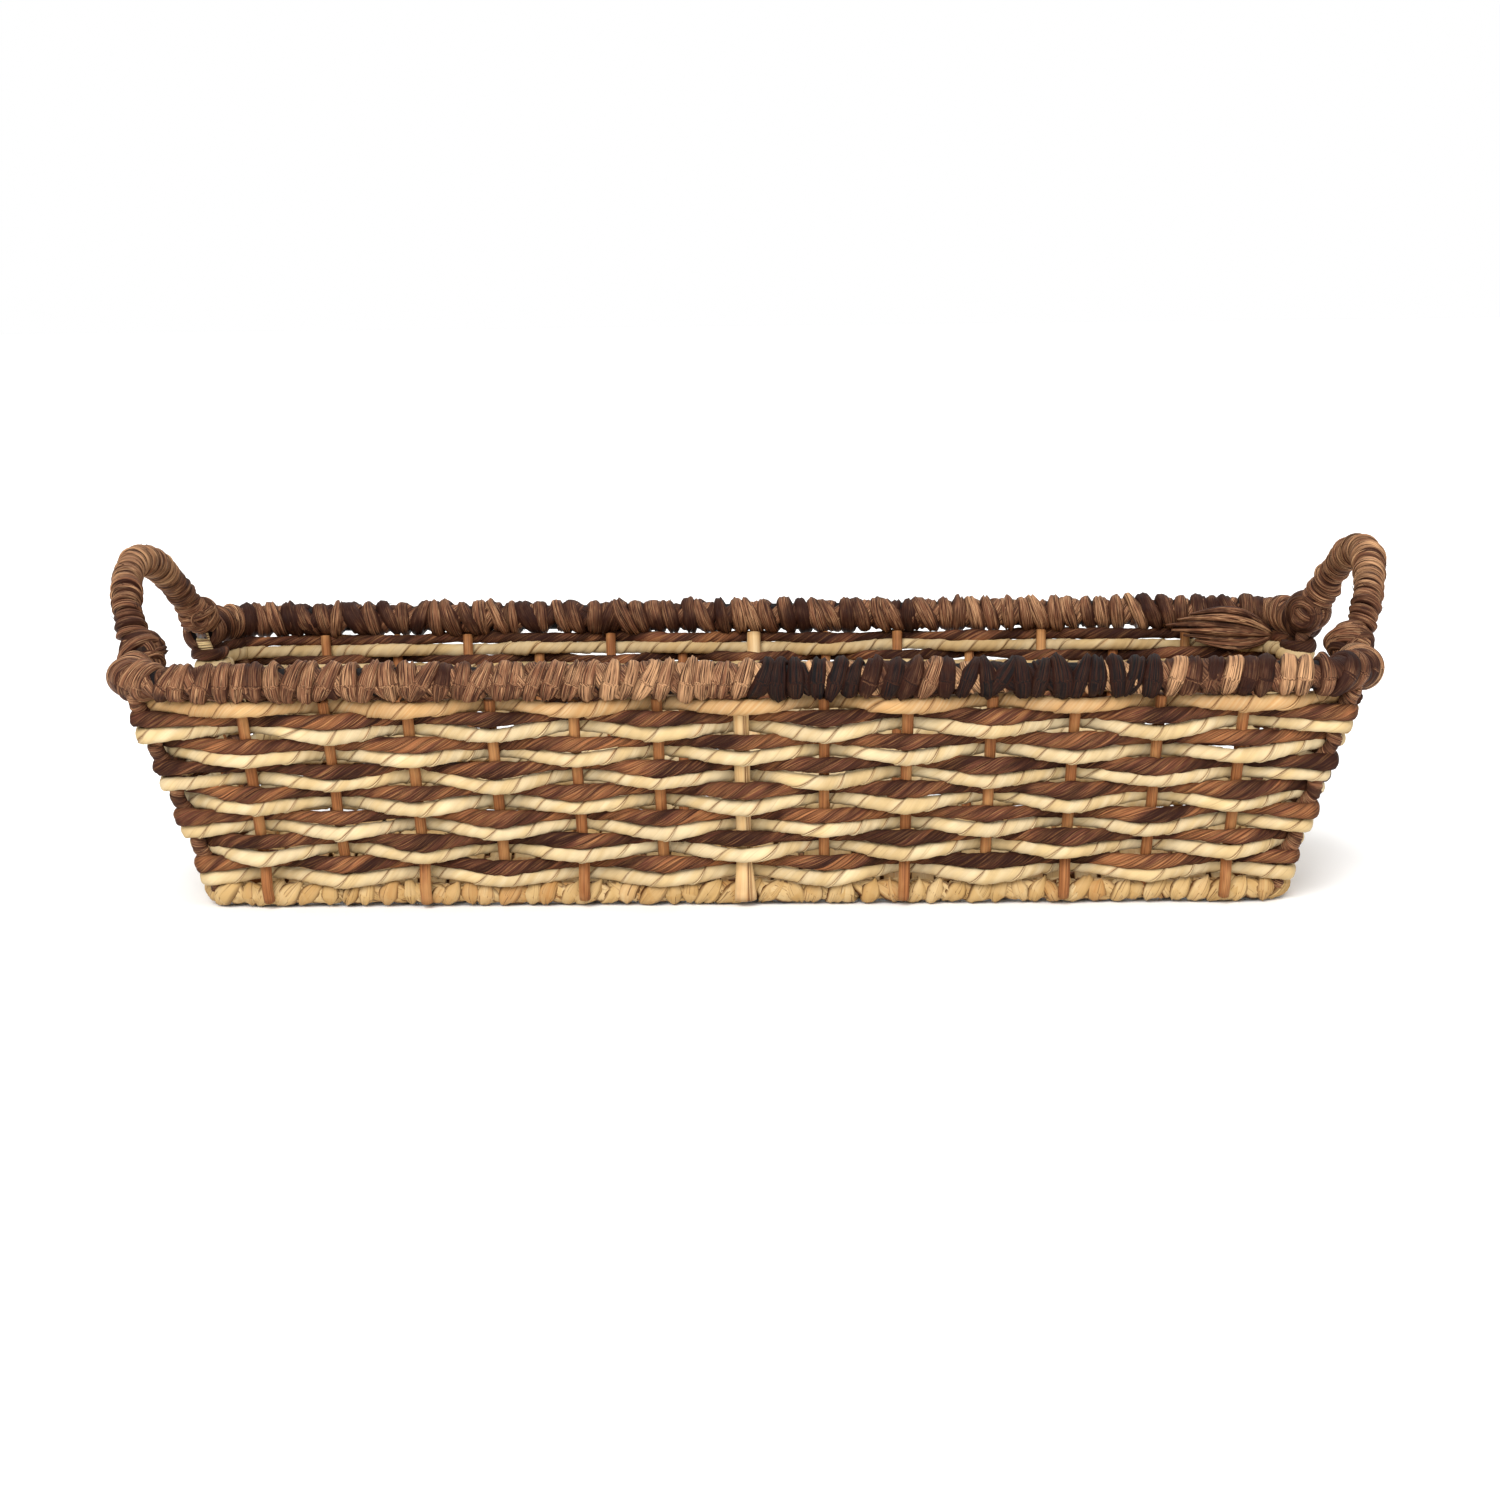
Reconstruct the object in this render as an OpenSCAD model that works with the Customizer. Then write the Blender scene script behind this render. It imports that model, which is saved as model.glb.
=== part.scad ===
// Long woven bread basket: a wire frame with two fixed handles, rattan stakes,
// rows of rolled and twisted leaf, wrapped rim, handles and base border.
// Origin on the table under the middle of the base, +X along the length, +Z up.

/* [Basket] */
// Length over the outside of the rim
rim_length = 457; // [380:1:560]
// Width over the outside of the rim
rim_width = 203; // [168:1:260]
// Height of the middle of the rim rope above the table
rim_height = 86.3; // [70:0.1:106]
// Length over the outside of the base border
base_length = 401; // [330:1:425]
// Width over the outside of the base border
base_width = 147; // [120:1:178]
// Corner radius of the wall line at the rim
rim_corner = 15; // [10:1:20]
// Corner radius of the wall line at the base
base_corner = 12; // [9:1:16]

/* [Handles] */
// Distance between the two legs of a handle, at the rim
handle_span = 102; // [84:1:124]
// Rise of the arch above the middle of the rim
handle_rise = 34.2; // [26:0.1:46]
// Outward lean of the arch, in degrees
handle_lean = 20; // [8:1:30]
// Thickness of the wrapped handle
handle_rope_d = 11; // [9:0.1:14]
// Thickness of the wire inside a handle
handle_wire_d = 3.6; // [2.5:0.1:4.4]
// Size of the bound lump at the foot of a handle
foot_lump_d = 17.6; // [15:0.1:21]
// Height of the lump's middle above the middle of the rim
foot_lump_rise = 5; // [4.2:0.1:7]

/* [Frame and ropes] */
// Thickness of the wrapped rim
rim_rope_d = 13.4; // [11:0.1:16]
// Thickness of the wrapped base border
border_rope_d = 9; // [7.5:0.1:11]
// Thickness of the rim and base wires
frame_wire_d = 4; // [3:0.1:5]
// Thickness of the upright post wires
post_wire_d = 3; // [2:0.1:3.4]
// Thickness of a wrapped upright post
post_wrap_d = 5.8; // [5:0.1:7]
// Thickness of the wire in the lowered rail under a handle
rail_wire_d = 3; // [2:0.1:4]
// Thickness of the wrapped rail under a handle
rail_rope_d = 8; // [6:0.1:9.5]

/* [Stakes] */
// Thickness of a rattan stake
stake_d = 4; // [3:0.1:5]
// Stakes and posts along the front, always odd
long_stakes = 13; // [9:2:17]
// Stakes and legs along one end
end_stakes = 5; // [3:2:7]
// From the last long side stake to the corner line, at the rim
rim_corner_gap = 43; // [32:1:50]
// From the last long side stake to the corner line, at the base
base_corner_gap = 22; // [18:1:28]
// From a handle leg to the corner line, at the base
leg_corner_gap = 25.6; // [20:0.1:30]

/* [Weave] */
// Rows of strands up the wall
rows = 15; // [11:2:19]
// Front rows that stop at the handle legs
open_rows = 5; // [3:2:7]
// Rear rows in the same height, which are packed closer
rear_rows = 6; // [4:2:8]
// Thickness of a strand, across the wall
strand_t = 3.4; // [2.4:0.1:4]
// Gap between one row and the next
row_gap = 0.22; // [0.1:0.01:0.5]

/* [Base panel] */
// Thickness of a long base stick
base_stick_d = 4; // [3:0.1:4.6]
// Number of long base sticks
base_sticks_n = 7; // [5:2:9]
// Distance between base sticks
base_stick_pitch = 18; // [14:0.5:20]
// Width of one base strand with its gap
base_strand_pitch = 10; // [8:0.5:14]
// Thickness of a base strand
base_strand_t = 2.4; // [1.6:0.1:2.8]
// Height of the middle of the base panel
base_panel_z = 6; // [5.6:0.1:7]

/* [Leaf tuck] */
// Length of the loose tuck of leaf inside the rear right corner
tuck_l = 40; // [25:1:50]
// Depth of the tuck of leaf
tuck_h = 10; // [6:1:12]
// Thickness of the tuck of leaf
tuck_t = 3.4; // [2:0.1:4]
// Gap between the tuck of leaf and the weave behind it
tuck_gap = 1.7; // [0.5:0.1:4]
// Distance from the end of the tuck of leaf to the middle of the corner post beside it
tuck_end_gap = 7.56; // [4:0.01:14]

/* [Hidden] */

rattan = "#8a5a30";
dark_leaf = "#5b3527";
light_leaf = "#d9bd84";
wire_grey = "#5c5c5c";

clear = 0.15;          // running gap between pieces that lie on each other
tube_sides = 12;       // sides of a wrapped rope
wire_sides = 8;        // sides of a bent wire
corner_steps = 5;      // steps round one corner
arch_steps = 22;       // steps along one handle arch
border_joint = 0.6;    // gap where the two ends of the border's wrap meet
smooth = 48;           // $fn of the round pieces

// The wall line: the middle of the stakes, from the base ring up to the rim wire
ring_z = border_rope_d / 2;
rim_hx = (rim_length - rim_rope_d) / 2;
rim_hy = (rim_width - rim_rope_d) / 2;
base_hx = (base_length - border_rope_d) / 2;
base_hy = (base_width - border_rope_d) / 2;
wall_h = rim_height - ring_z;
weave_low = border_rope_d + 2 * clear;
weave_high = rim_height - rim_rope_d / 2 - 2 * clear;
row_pitch = (weave_high - weave_low) / rows;
rear_pitch = open_rows * row_pitch / rear_rows;
strand_h = row_pitch - row_gap;
leg_y = handle_span / 2;
leg_base_y = base_hy - leg_corner_gap;
rail_low = weave_high - open_rows * row_pitch;
rail_z = rail_low + clear + rail_rope_d / 2;

// Places of the uprights, anticlockwise from the front left: [at the base, at the rim, outward]
long_n = (long_stakes - 1) / 2;
end_n = (end_stakes - 1) / 2;
function long_x(i, half, gap) = i * (half - gap) / long_n;
function end_y(i, y) = i * y / end_n;
function long_upright(i, s) = [
    [long_x(i, base_hx, base_corner_gap), s * base_hy, ring_z],
    [long_x(i, rim_hx, rim_corner_gap), s * rim_hy, rim_height],
    [0, s, 0]];
function end_upright(i, s) = [
    [s * base_hx, end_y(i, leg_base_y), ring_z],
    [s * rim_hx, end_y(i, leg_y), rim_height],
    [s, 0, 0]];
function corner_at(hx, hy, r, z, sx, sy) =
    [sx * (hx - r + r * cos(45)), sy * (hy - r + r * sin(45)), z];
function corner_upright(sx, sy) = [
    corner_at(base_hx, base_hy, base_corner, ring_z, sx, sy),
    corner_at(rim_hx, rim_hy, rim_corner, rim_height, sx, sy),
    [sx * cos(45), sy * sin(45), 0]];
uprights = concat(
    [for (i = [-long_n:long_n]) long_upright(i, -1)],
    [corner_upright(1, -1)],
    [for (i = [-end_n:end_n]) end_upright(i, 1)],
    [corner_upright(1, 1)],
    [for (i = [-long_n:long_n]) long_upright(-i, 1)],
    [corner_upright(-1, 1)],
    [for (i = [-end_n:end_n]) end_upright(-i, -1)],
    [corner_upright(-1, -1)]);
count = len(uprights);
right_front_leg = long_stakes + 1;
right_rear_leg = right_front_leg + end_stakes - 1;
left_rear_leg = right_rear_leg + long_stakes + 3;
left_front_leg = left_rear_leg + end_stakes - 1;
posts = [long_n, long_n + right_rear_leg + 2,
         long_stakes, right_rear_leg + 1, left_rear_leg - 1, count - 1,
         right_front_leg, right_rear_leg, left_rear_leg, left_front_leg];
function upright_r(k) = (len(search(k, posts)) > 0 ? post_wrap_d : stake_d) / 2;

function unit(v) = v / norm(v);
function at_z(u, z) = u[0] + (u[1] - u[0]) * (z - ring_z) / wall_h;
function lean(u) = norm([u[1][0] - u[0][0], u[1][1] - u[0][1]]) / wall_h;

// One straight round rod from a to b
module rod(a, b, d, sides = smooth) {
    v = b - a;
    translate(a)
        rotate([0, acos(v[2] / norm(v)), atan2(v[1], v[0])])
            cylinder(d = d, h = norm(v), $fn = sides);
}

// One upright's rod or sleeve between two heights, its square ends kept inside them
module upright(u, d, low, high) {
    end_tilt = d / 2 * sin(atan(lean(u)));
    rod(at_z(u, low + end_tilt), at_z(u, high - end_tilt), d);
}
module upright_wrap(u, wire_d, low, high) {
    difference() {
        upright(u, post_wrap_d, low, high);
        upright(u, wire_d + 2 * clear, low - post_wrap_d, high + post_wrap_d);
    }
}

// A bent tube along points, its radii measured to the flats, one of which faces straight down.
// It is solid when r_in is 0, and a closed loop when closed is true.
module tube(path, r_out, r_in, side, sides, closed = false) {
    n = len(path);
    half_side = 180 / sides;
    rings = (r_in > 0 ? [r_out, r_in] : [r_out]) / cos(half_side);
    function along(i) = closed
        ? unit(path[(i + 1) % n] - path[(i + n - 1) % n])
        : unit(path[min(i + 1, n - 1)] - path[max(i - 1, 0)]);
    points = [for (r = rings) for (i = [0:n - 1])
        let (t = along(i), a = unit(cross(t, side)), b = cross(t, a))
        for (j = [0:sides - 1])
            let (turn = half_side + j * 360 / sides)
            path[i] + r * (cos(turn) * a + sin(turn) * b)];
    function id(k, i, j) = k * n * sides + (i % n) * sides + j % sides;
    last = closed ? n - 1 : n - 2;
    skin = [for (k = [0:len(rings) - 1]) for (i = [0:last]) for (j = [0:sides - 1])
        k == 0 ? [id(0, i, j), id(0, i + 1, j), id(0, i + 1, j + 1), id(0, i, j + 1)]
               : [id(1, i, j), id(1, i, j + 1), id(1, i + 1, j + 1), id(1, i + 1, j)]];
    solid_ends = [[for (j = [0:sides - 1]) id(0, 0, j)],
                  [for (j = [sides - 1:-1:0]) id(0, n - 1, j)]];
    ring_ends = [for (j = [0:sides - 1]) each [
        [id(0, 0, j), id(0, 0, j + 1), id(1, 0, j + 1), id(1, 0, j)],
        [id(0, n - 1, j), id(1, n - 1, j), id(1, n - 1, j + 1), id(0, n - 1, j + 1)]]];
    polyhedron(points, concat(skin, closed ? [] : r_in > 0 ? ring_ends : solid_ends), convexity = 8);
}

// Quarter turns of a rounded rectangle at height z
function corner_arc(hx, hy, r, z, sx, sy, from) = [for (s = [0:corner_steps])
    let (a = from + s * 90 / corner_steps)
    [sx * (hx - r) + r * cos(a), sy * (hy - r) + r * sin(a), z]];
base_loop = concat(
    corner_arc(base_hx, base_hy, base_corner, ring_z, 1, -1, -90),
    corner_arc(base_hx, base_hy, base_corner, ring_z, 1, 1, 0),
    corner_arc(base_hx, base_hy, base_corner, ring_z, -1, 1, 90),
    corner_arc(base_hx, base_hy, base_corner, ring_z, -1, -1, 180));
function rim_half(s, end_y) = concat(
    [[-s * -rim_hx, s * end_y, rim_height]],
    s > 0 ? corner_arc(rim_hx, rim_hy, rim_corner, rim_height, 1, 1, 0)
          : corner_arc(rim_hx, rim_hy, rim_corner, rim_height, -1, -1, 180),
    s > 0 ? corner_arc(rim_hx, rim_hy, rim_corner, rim_height, -1, 1, 90)
          : corner_arc(rim_hx, rim_hy, rim_corner, rim_height, 1, -1, 270),
    [[-s * rim_hx, s * end_y, rim_height]]);

// The handle arch: half an ellipse that leans outward
function arch_point(s, a) = [
    s * (rim_hx + handle_rise * sin(a) * tan(handle_lean)),
    -leg_y * cos(a),
    rim_height + handle_rise * sin(a)];
function arch(s, from) = [for (i = [0:arch_steps])
    arch_point(s, from + i * (180 - 2 * from) / arch_steps)];
lump_r = foot_lump_d / 2;
wrap_from = asin((lump_r + foot_lump_rise + clear) * cos(handle_lean) / handle_rise);

module base_ring_wire() {
    color(wire_grey) tube(base_loop, frame_wire_d / 2, 0, [0, 0, 1], wire_sides, true);
}
border_loop = concat(
    [[-border_joint / 2, base_hy, ring_z]],
    corner_arc(base_hx, base_hy, base_corner, ring_z, -1, 1, 90),
    corner_arc(base_hx, base_hy, base_corner, ring_z, -1, -1, 180),
    corner_arc(base_hx, base_hy, base_corner, ring_z, 1, -1, 270),
    corner_arc(base_hx, base_hy, base_corner, ring_z, 1, 1, 0),
    [[border_joint / 2, base_hy, ring_z]]);
module base_border_wrap() {
    color(light_leaf)
        tube(border_loop, border_rope_d / 2, frame_wire_d / 2 + 2 * clear, [0, 0, 1], tube_sides);
}

// Base panel: long sticks with strands woven across them, inside the border
panel_hx = base_hx - border_rope_d / 2 - 2 * clear;
panel_hy = base_hy - border_rope_d / 2 - 2 * clear;
panel_corner = base_corner - border_rope_d / 2 - 2 * clear;
strand_w = base_strand_pitch - 2 * clear;
strand_lift = base_stick_d / 2 + clear + base_strand_t / 2;
stick_n = (base_sticks_n - 1) / 2;
base_strand_n = floor((panel_hx - strand_w / 2 - 1) / base_strand_pitch);
function panel_half_y(x) = let (over = abs(x) + strand_w / 2 - (panel_hx - panel_corner))
    over <= 0 ? panel_hy : panel_hy - panel_corner + sqrt(max(0, pow(panel_corner, 2) - pow(over, 2)));
module base_sticks() {
    color(rattan)
        for (i = [-stick_n:stick_n])
            rod([-panel_hx, i * base_stick_pitch, base_panel_z],
                [panel_hx, i * base_stick_pitch, base_panel_z], base_stick_d);
}
module base_strand(x, side) {
    half = panel_half_y(x);
    flat = base_stick_d * 0.8;
    middle = concat([[-half, 0]],
        [for (i = [-stick_n:stick_n]) let (z = side * (i % 2 == 0 ? 1 : -1) * strand_lift)
            each [[i * base_stick_pitch - flat, z], [i * base_stick_pitch + flat, z]]],
        [[half, 0]]);
    shift = [0, base_strand_t / 2];
    translate([x - strand_w / 2, 0, base_panel_z])
        rotate([90, 0, 90])
            linear_extrude(strand_w)
                polygon(concat([for (p = middle) p - shift],
                               [for (i = [len(middle) - 1:-1:0]) middle[i] + shift]));
}
module base_strands(first, side) {
    color(light_leaf)
        for (i = [-base_strand_n + first:2:base_strand_n])
            base_strand(i * base_strand_pitch, side);
}
module base_strands_over() { base_strands(0, 1); }
module base_strands_under() { base_strands(1, -1); }

// Frame wires
rim_rope_end = leg_y + post_wrap_d / 2 + clear;
module rim_wire(s) {
    color(wire_grey) tube(rim_half(s, rim_rope_end), frame_wire_d / 2, 0, [0, 0, 1], wire_sides);
}
module rim_wire_front() { rim_wire(-1); }
module rim_wire_rear() { rim_wire(1); }
module handle_bow(s) {
    legs = [uprights[s > 0 ? right_front_leg : left_front_leg],
            uprights[s > 0 ? right_rear_leg : left_rear_leg]];
    color(wire_grey)
        tube(concat([at_z(legs[0], weave_low + clear)], arch(s, 0), [at_z(legs[1], weave_low + clear)]),
             handle_wire_d / 2, 0, [s, 0, 0], wire_sides);
}
module handle_bow_left() { handle_bow(-1); }
module handle_bow_right() { handle_bow(1); }

// Uprights that are wrapped wire, and their wraps
post_low = border_rope_d + clear;
post_high = rim_height - rim_rope_d / 2 - clear;
leg_wrap_high = rim_height + foot_lump_rise - lump_r - clear;
centre_posts = [uprights[posts[0]], uprights[posts[1]]];
corner_posts = [for (i = [2:5]) uprights[posts[i]]];
handle_legs = [for (i = [6:9]) uprights[posts[i]]];
module centre_post_wires() {
    color(wire_grey) for (u = centre_posts) upright(u, post_wire_d, post_low, post_high);
}
module corner_post_wires() {
    color(wire_grey) for (u = corner_posts) upright(u, post_wire_d, post_low, post_high);
}
module centre_post_wraps() {
    color(light_leaf) for (u = centre_posts) upright_wrap(u, post_wire_d, post_low, post_high);
}
module corner_post_wraps() {
    color(dark_leaf) for (u = corner_posts) upright_wrap(u, post_wire_d, post_low, post_high);
}
module handle_leg_wraps() {
    color(dark_leaf)
        for (u = handle_legs) upright_wrap(u, handle_wire_d + 2 * clear, post_low, leg_wrap_high);
}

// Rattan stakes
module stake_row(from, to, high) {
    color(rattan)
        for (k = [from:to])
            if (upright_r(k) < post_wrap_d / 2) upright(uprights[k], stake_d, post_low, high);
}
module stakes_front() { stake_row(0, long_stakes - 1, post_high); }
module stakes_rear() { stake_row(right_rear_leg + 2, left_rear_leg - 2, post_high); }
module stakes_left() { stake_row(left_rear_leg + 1, left_front_leg - 1, rail_low); }
module stakes_right() { stake_row(right_front_leg + 1, right_rear_leg - 1, rail_low); }

// The lowered rail that closes the wall under a handle
rail_x = at_z(handle_legs[0], rail_z)[0];
rail_half = abs(at_z(handle_legs[0], rail_low)[1]) - post_wrap_d / 2 - 3 * clear;
module end_rail_wire(s) {
    color(wire_grey) rod([s * rail_x, -rail_half, rail_z], [s * rail_x, rail_half, rail_z], rail_wire_d);
}
module end_rail_wrap(s) {
    color(dark_leaf)
        difference() {
            rod([s * rail_x, -rail_half, rail_z], [s * rail_x, rail_half, rail_z], rail_rope_d);
            rod([s * rail_x, -leg_y, rail_z], [s * rail_x, leg_y, rail_z], rail_wire_d + 2 * clear);
        }
}
module end_rail_wire_left() { end_rail_wire(-1); }
module end_rail_wire_right() { end_rail_wire(1); }
module end_rail_wrap_left() { end_rail_wrap(-1); }
module end_rail_wrap_right() { end_rail_wrap(1); }

// Wraps of the rim and of the handles
module rim_wrap(s) {
    color(dark_leaf)
        tube(rim_half(s, rim_rope_end), rim_rope_d / 2, frame_wire_d / 2 + 2 * clear,
             [0, 0, 1], tube_sides);
}
module rim_wrap_front() { rim_wrap(-1); }
module rim_wrap_rear() { rim_wrap(1); }
module handle_wrap(s) {
    color(dark_leaf)
        tube(arch(s, wrap_from), handle_rope_d / 2, handle_wire_d / 2 + 2 * clear, [s, 0, 0], tube_sides);
}
module handle_wrap_left() { handle_wrap(-1); }
module handle_wrap_right() { handle_wrap(1); }

// Bound lump on the end of the rim, where the handle rises from the leg below it
lump_arch_steps = 9;   // steps of the arch that the hole in a lump follows
module foot_lashing(sx, sy) {
    foot = [sx * rim_hx, sy * leg_y, rim_height];
    leg = at_z(handle_legs[0], weave_low);
    bow = concat([[abs(leg[0]), leg[1], leg[2]]],
                 [for (i = [0:lump_arch_steps]) arch_point(1, i * 180 / arch_steps)]);
    color(dark_leaf)
        difference() {
            translate(foot + [0, 0, foot_lump_rise]) sphere(d = foot_lump_d, $fn = tube_sides);
            tube([for (p = bow) [sx * p[0], -sy * p[1], p[2]]],
                 handle_wire_d / 2 + 2 * clear, 0, [sx, 0, 0], wire_sides);
            rod([foot[0], sy * (rim_rope_end - clear), foot[2]],
                [foot[0], sy * (rim_rope_end + foot_lump_d), foot[2]],
                rim_rope_d / pow(cos(180 / tube_sides), 2) + 2 * clear, tube_sides);
        }
}
module foot_lashing_front_left() { foot_lashing(-1, -1); }
module foot_lashing_front_right() { foot_lashing(1, -1); }
module foot_lashing_rear_left() { foot_lashing(-1, 1); }
module foot_lashing_rear_right() { foot_lashing(1, 1); }

// Loose end of the rim's leaf, tucked in at the rear right corner
tuck_wall = corner_posts[1];
tuck_x = at_z(tuck_wall, rim_height - tuck_h)[0] - tuck_end_gap - tuck_l / 2;
tuck_y = at_z(uprights[right_rear_leg + 2], weave_high - rear_pitch / 2)[1]
    - swing(tuck_wall, post_wrap_d / 2, strand_h) - strand_t / 2 - tuck_gap - tuck_t / 2;
module leaf_tuck() {
    color(dark_leaf)
        translate([tuck_x - tuck_l / 2, tuck_y - tuck_t / 2, rim_height - tuck_h])
            cube([tuck_l, tuck_t, tuck_h]);
}

// One row of the weave: a band that passes in and out of the uprights, at height z.
// Rows go in pairs that change over at every upright; the front's first row is half a pair.
function row_z(r) = weave_high - (r - 0.5) * row_pitch;
function pair(r) = floor(r / 2);
function rear_pair(r) = floor((r - 1) / 2) + pair(open_rows + 1) - rear_rows / 2;
function side(pair, k) = (pair + k) % 2 == 0 ? 1 : -1;
function leaning_r(u, r) = r / cos(atan(lean(u)));
function swing(u, r, h) = leaning_r(u, r) + lean(u) * h / 2 + clear + strand_t / 2;
function band_edge(z, h, pair, list, face) = [for (i = [0:len(list) - 1])
    let (k = list[i] % count,
         u = uprights[k],
         p = at_z(u, z),
         out = [u[2][0], u[2][1]],
         along = [-out[1], out[0]],
         offset = side(pair, k) * swing(u, upright_r(k), h) + face * strand_t / 2,
         flat = leaning_r(u, upright_r(k)) + 1.8,
         open_row = len(list) < count,
         back = open_row && i == 0 ? upright_r(k) : flat,
         front = open_row && i == len(list) - 1 ? upright_r(k) : flat)
    each [[p[0], p[1]] + offset * out - back * along, [p[0], p[1]] + offset * out + front * along]];
module strand(z, h, pair, list, leaf) {
    outer = band_edge(z, h, pair, list, 1);
    inner = band_edge(z, h, pair, list, -1);
    closed = len(list) == count;
    n = len(outer);
    color(leaf)
        translate([0, 0, z - h / 2])
            linear_extrude(h)
                if (closed)
                    polygon(concat(outer, inner),
                            [[for (i = [0:n - 1]) i], [for (i = [2 * n - 1:-1:n]) i]]);
                else
                    polygon(concat(outer, [for (i = [n - 1:-1:0]) inner[i]]));
}
module strand_row(r, list) {
    strand(row_z(r), strand_h, pair(r), list, r % 2 == 0 ? dark_leaf : light_leaf);
}
module rear_strand(r) {
    strand(weave_high - (r - 0.5) * rear_pitch, rear_pitch - row_gap, rear_pair(r), rear_list,
           r % 2 == 0 ? light_leaf : dark_leaf);
}
front_list = [for (k = [left_front_leg:count + right_front_leg]) k];
rear_list = [for (k = [right_rear_leg:left_rear_leg]) k];
whole_list = [for (k = [0:count - 1]) k];
function strand_name(r, part) = str("strand_", r < 10 ? "0" : "", r, part);

base_ring_wire();
base_border_wrap();
base_sticks();
base_strands_over();
base_strands_under();
rim_wire_front();
rim_wire_rear();
handle_bow_left();
handle_bow_right();
centre_post_wires();
corner_post_wires();
centre_post_wraps();
corner_post_wraps();
handle_leg_wraps();
stakes_front();
stakes_rear();
stakes_left();
stakes_right();
end_rail_wire_left();
end_rail_wire_right();
end_rail_wrap_left();
end_rail_wrap_right();
rim_wrap_front();
rim_wrap_rear();
handle_wrap_left();
handle_wrap_right();
foot_lashing_front_left();
foot_lashing_front_right();
foot_lashing_rear_left();
foot_lashing_rear_right();
leaf_tuck();
for (r = [1:open_rows]) strand_row(r, front_list);
for (r = [1:rear_rows]) rear_strand(r);
for (r = [open_rows + 1:rows]) strand_row(r, whole_list);
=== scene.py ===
"""Woven bread basket: rolled and twisted leaf strands over rattan stakes, wrapped rim and handles."""

import bpy
import numpy as np
from bpy.props import FloatProperty, FloatVectorProperty, IntProperty, PointerProperty
from bpy.types import Operator, Panel, PropertyGroup
from mathutils import Matrix, Vector


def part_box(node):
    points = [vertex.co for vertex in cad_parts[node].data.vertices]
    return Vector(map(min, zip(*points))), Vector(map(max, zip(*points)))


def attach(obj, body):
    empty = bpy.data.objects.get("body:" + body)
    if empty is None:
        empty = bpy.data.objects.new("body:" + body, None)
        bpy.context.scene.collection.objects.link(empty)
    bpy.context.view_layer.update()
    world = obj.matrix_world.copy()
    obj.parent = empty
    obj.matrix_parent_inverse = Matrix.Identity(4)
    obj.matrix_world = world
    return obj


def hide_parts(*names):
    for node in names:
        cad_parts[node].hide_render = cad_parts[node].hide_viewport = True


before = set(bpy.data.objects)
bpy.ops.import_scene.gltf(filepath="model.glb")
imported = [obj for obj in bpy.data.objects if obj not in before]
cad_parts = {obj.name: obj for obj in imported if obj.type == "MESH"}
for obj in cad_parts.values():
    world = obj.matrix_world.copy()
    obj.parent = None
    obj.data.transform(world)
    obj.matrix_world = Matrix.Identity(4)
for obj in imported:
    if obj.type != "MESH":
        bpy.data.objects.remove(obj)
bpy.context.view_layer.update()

bl_info = {
    "name": "Woven Bread Basket",
    "version": (1, 0, 0),
    "blender": (4, 5, 0),
    "location": "View3D > Sidebar > Basket",
    "description": "Weaves a bread basket of rolled and twisted leaf round its packed frame",
    "category": "Add Mesh",
}

MM = 0.001
TAU = 2 * np.pi
UP = np.array([0.0, 0.0, 1.0])


# ---------------------------------------------------------------- the frame's own measures

def node_box(name):
    low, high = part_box(name)
    return np.array(low), np.array(high)


def node_points(name):
    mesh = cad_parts[name].data
    points = np.zeros(len(mesh.vertices) * 3, np.float32)
    mesh.vertices.foreach_get("co", points)
    return points.reshape(-1, 3).astype(float)


def rod_ends(name, reach=8 * MM):
    """The middle of every rod's lower end and upper end, in a node that holds upright rods."""
    points = node_points(name)
    middle = (points[:, 2].min() + points[:, 2].max()) / 2
    ends = []
    for part in (points[points[:, 2] < middle], points[points[:, 2] >= middle]):
        found = []
        while len(part):
            near = np.linalg.norm(part[:, :2] - part[0, :2], axis=1) < reach
            found.append((part[near].min(0) + part[near].max(0)) / 2)
            part = part[~near]
        ends.append(found)
    return ends


def round_order(points):
    """The order of points round the basket, anticlockwise seen from above."""
    scaled = points[:, :2] / np.abs(points[:, :2]).max(0)
    return np.argsort(np.arctan2(scaled[:, 1], scaled[:, 0]))


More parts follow.
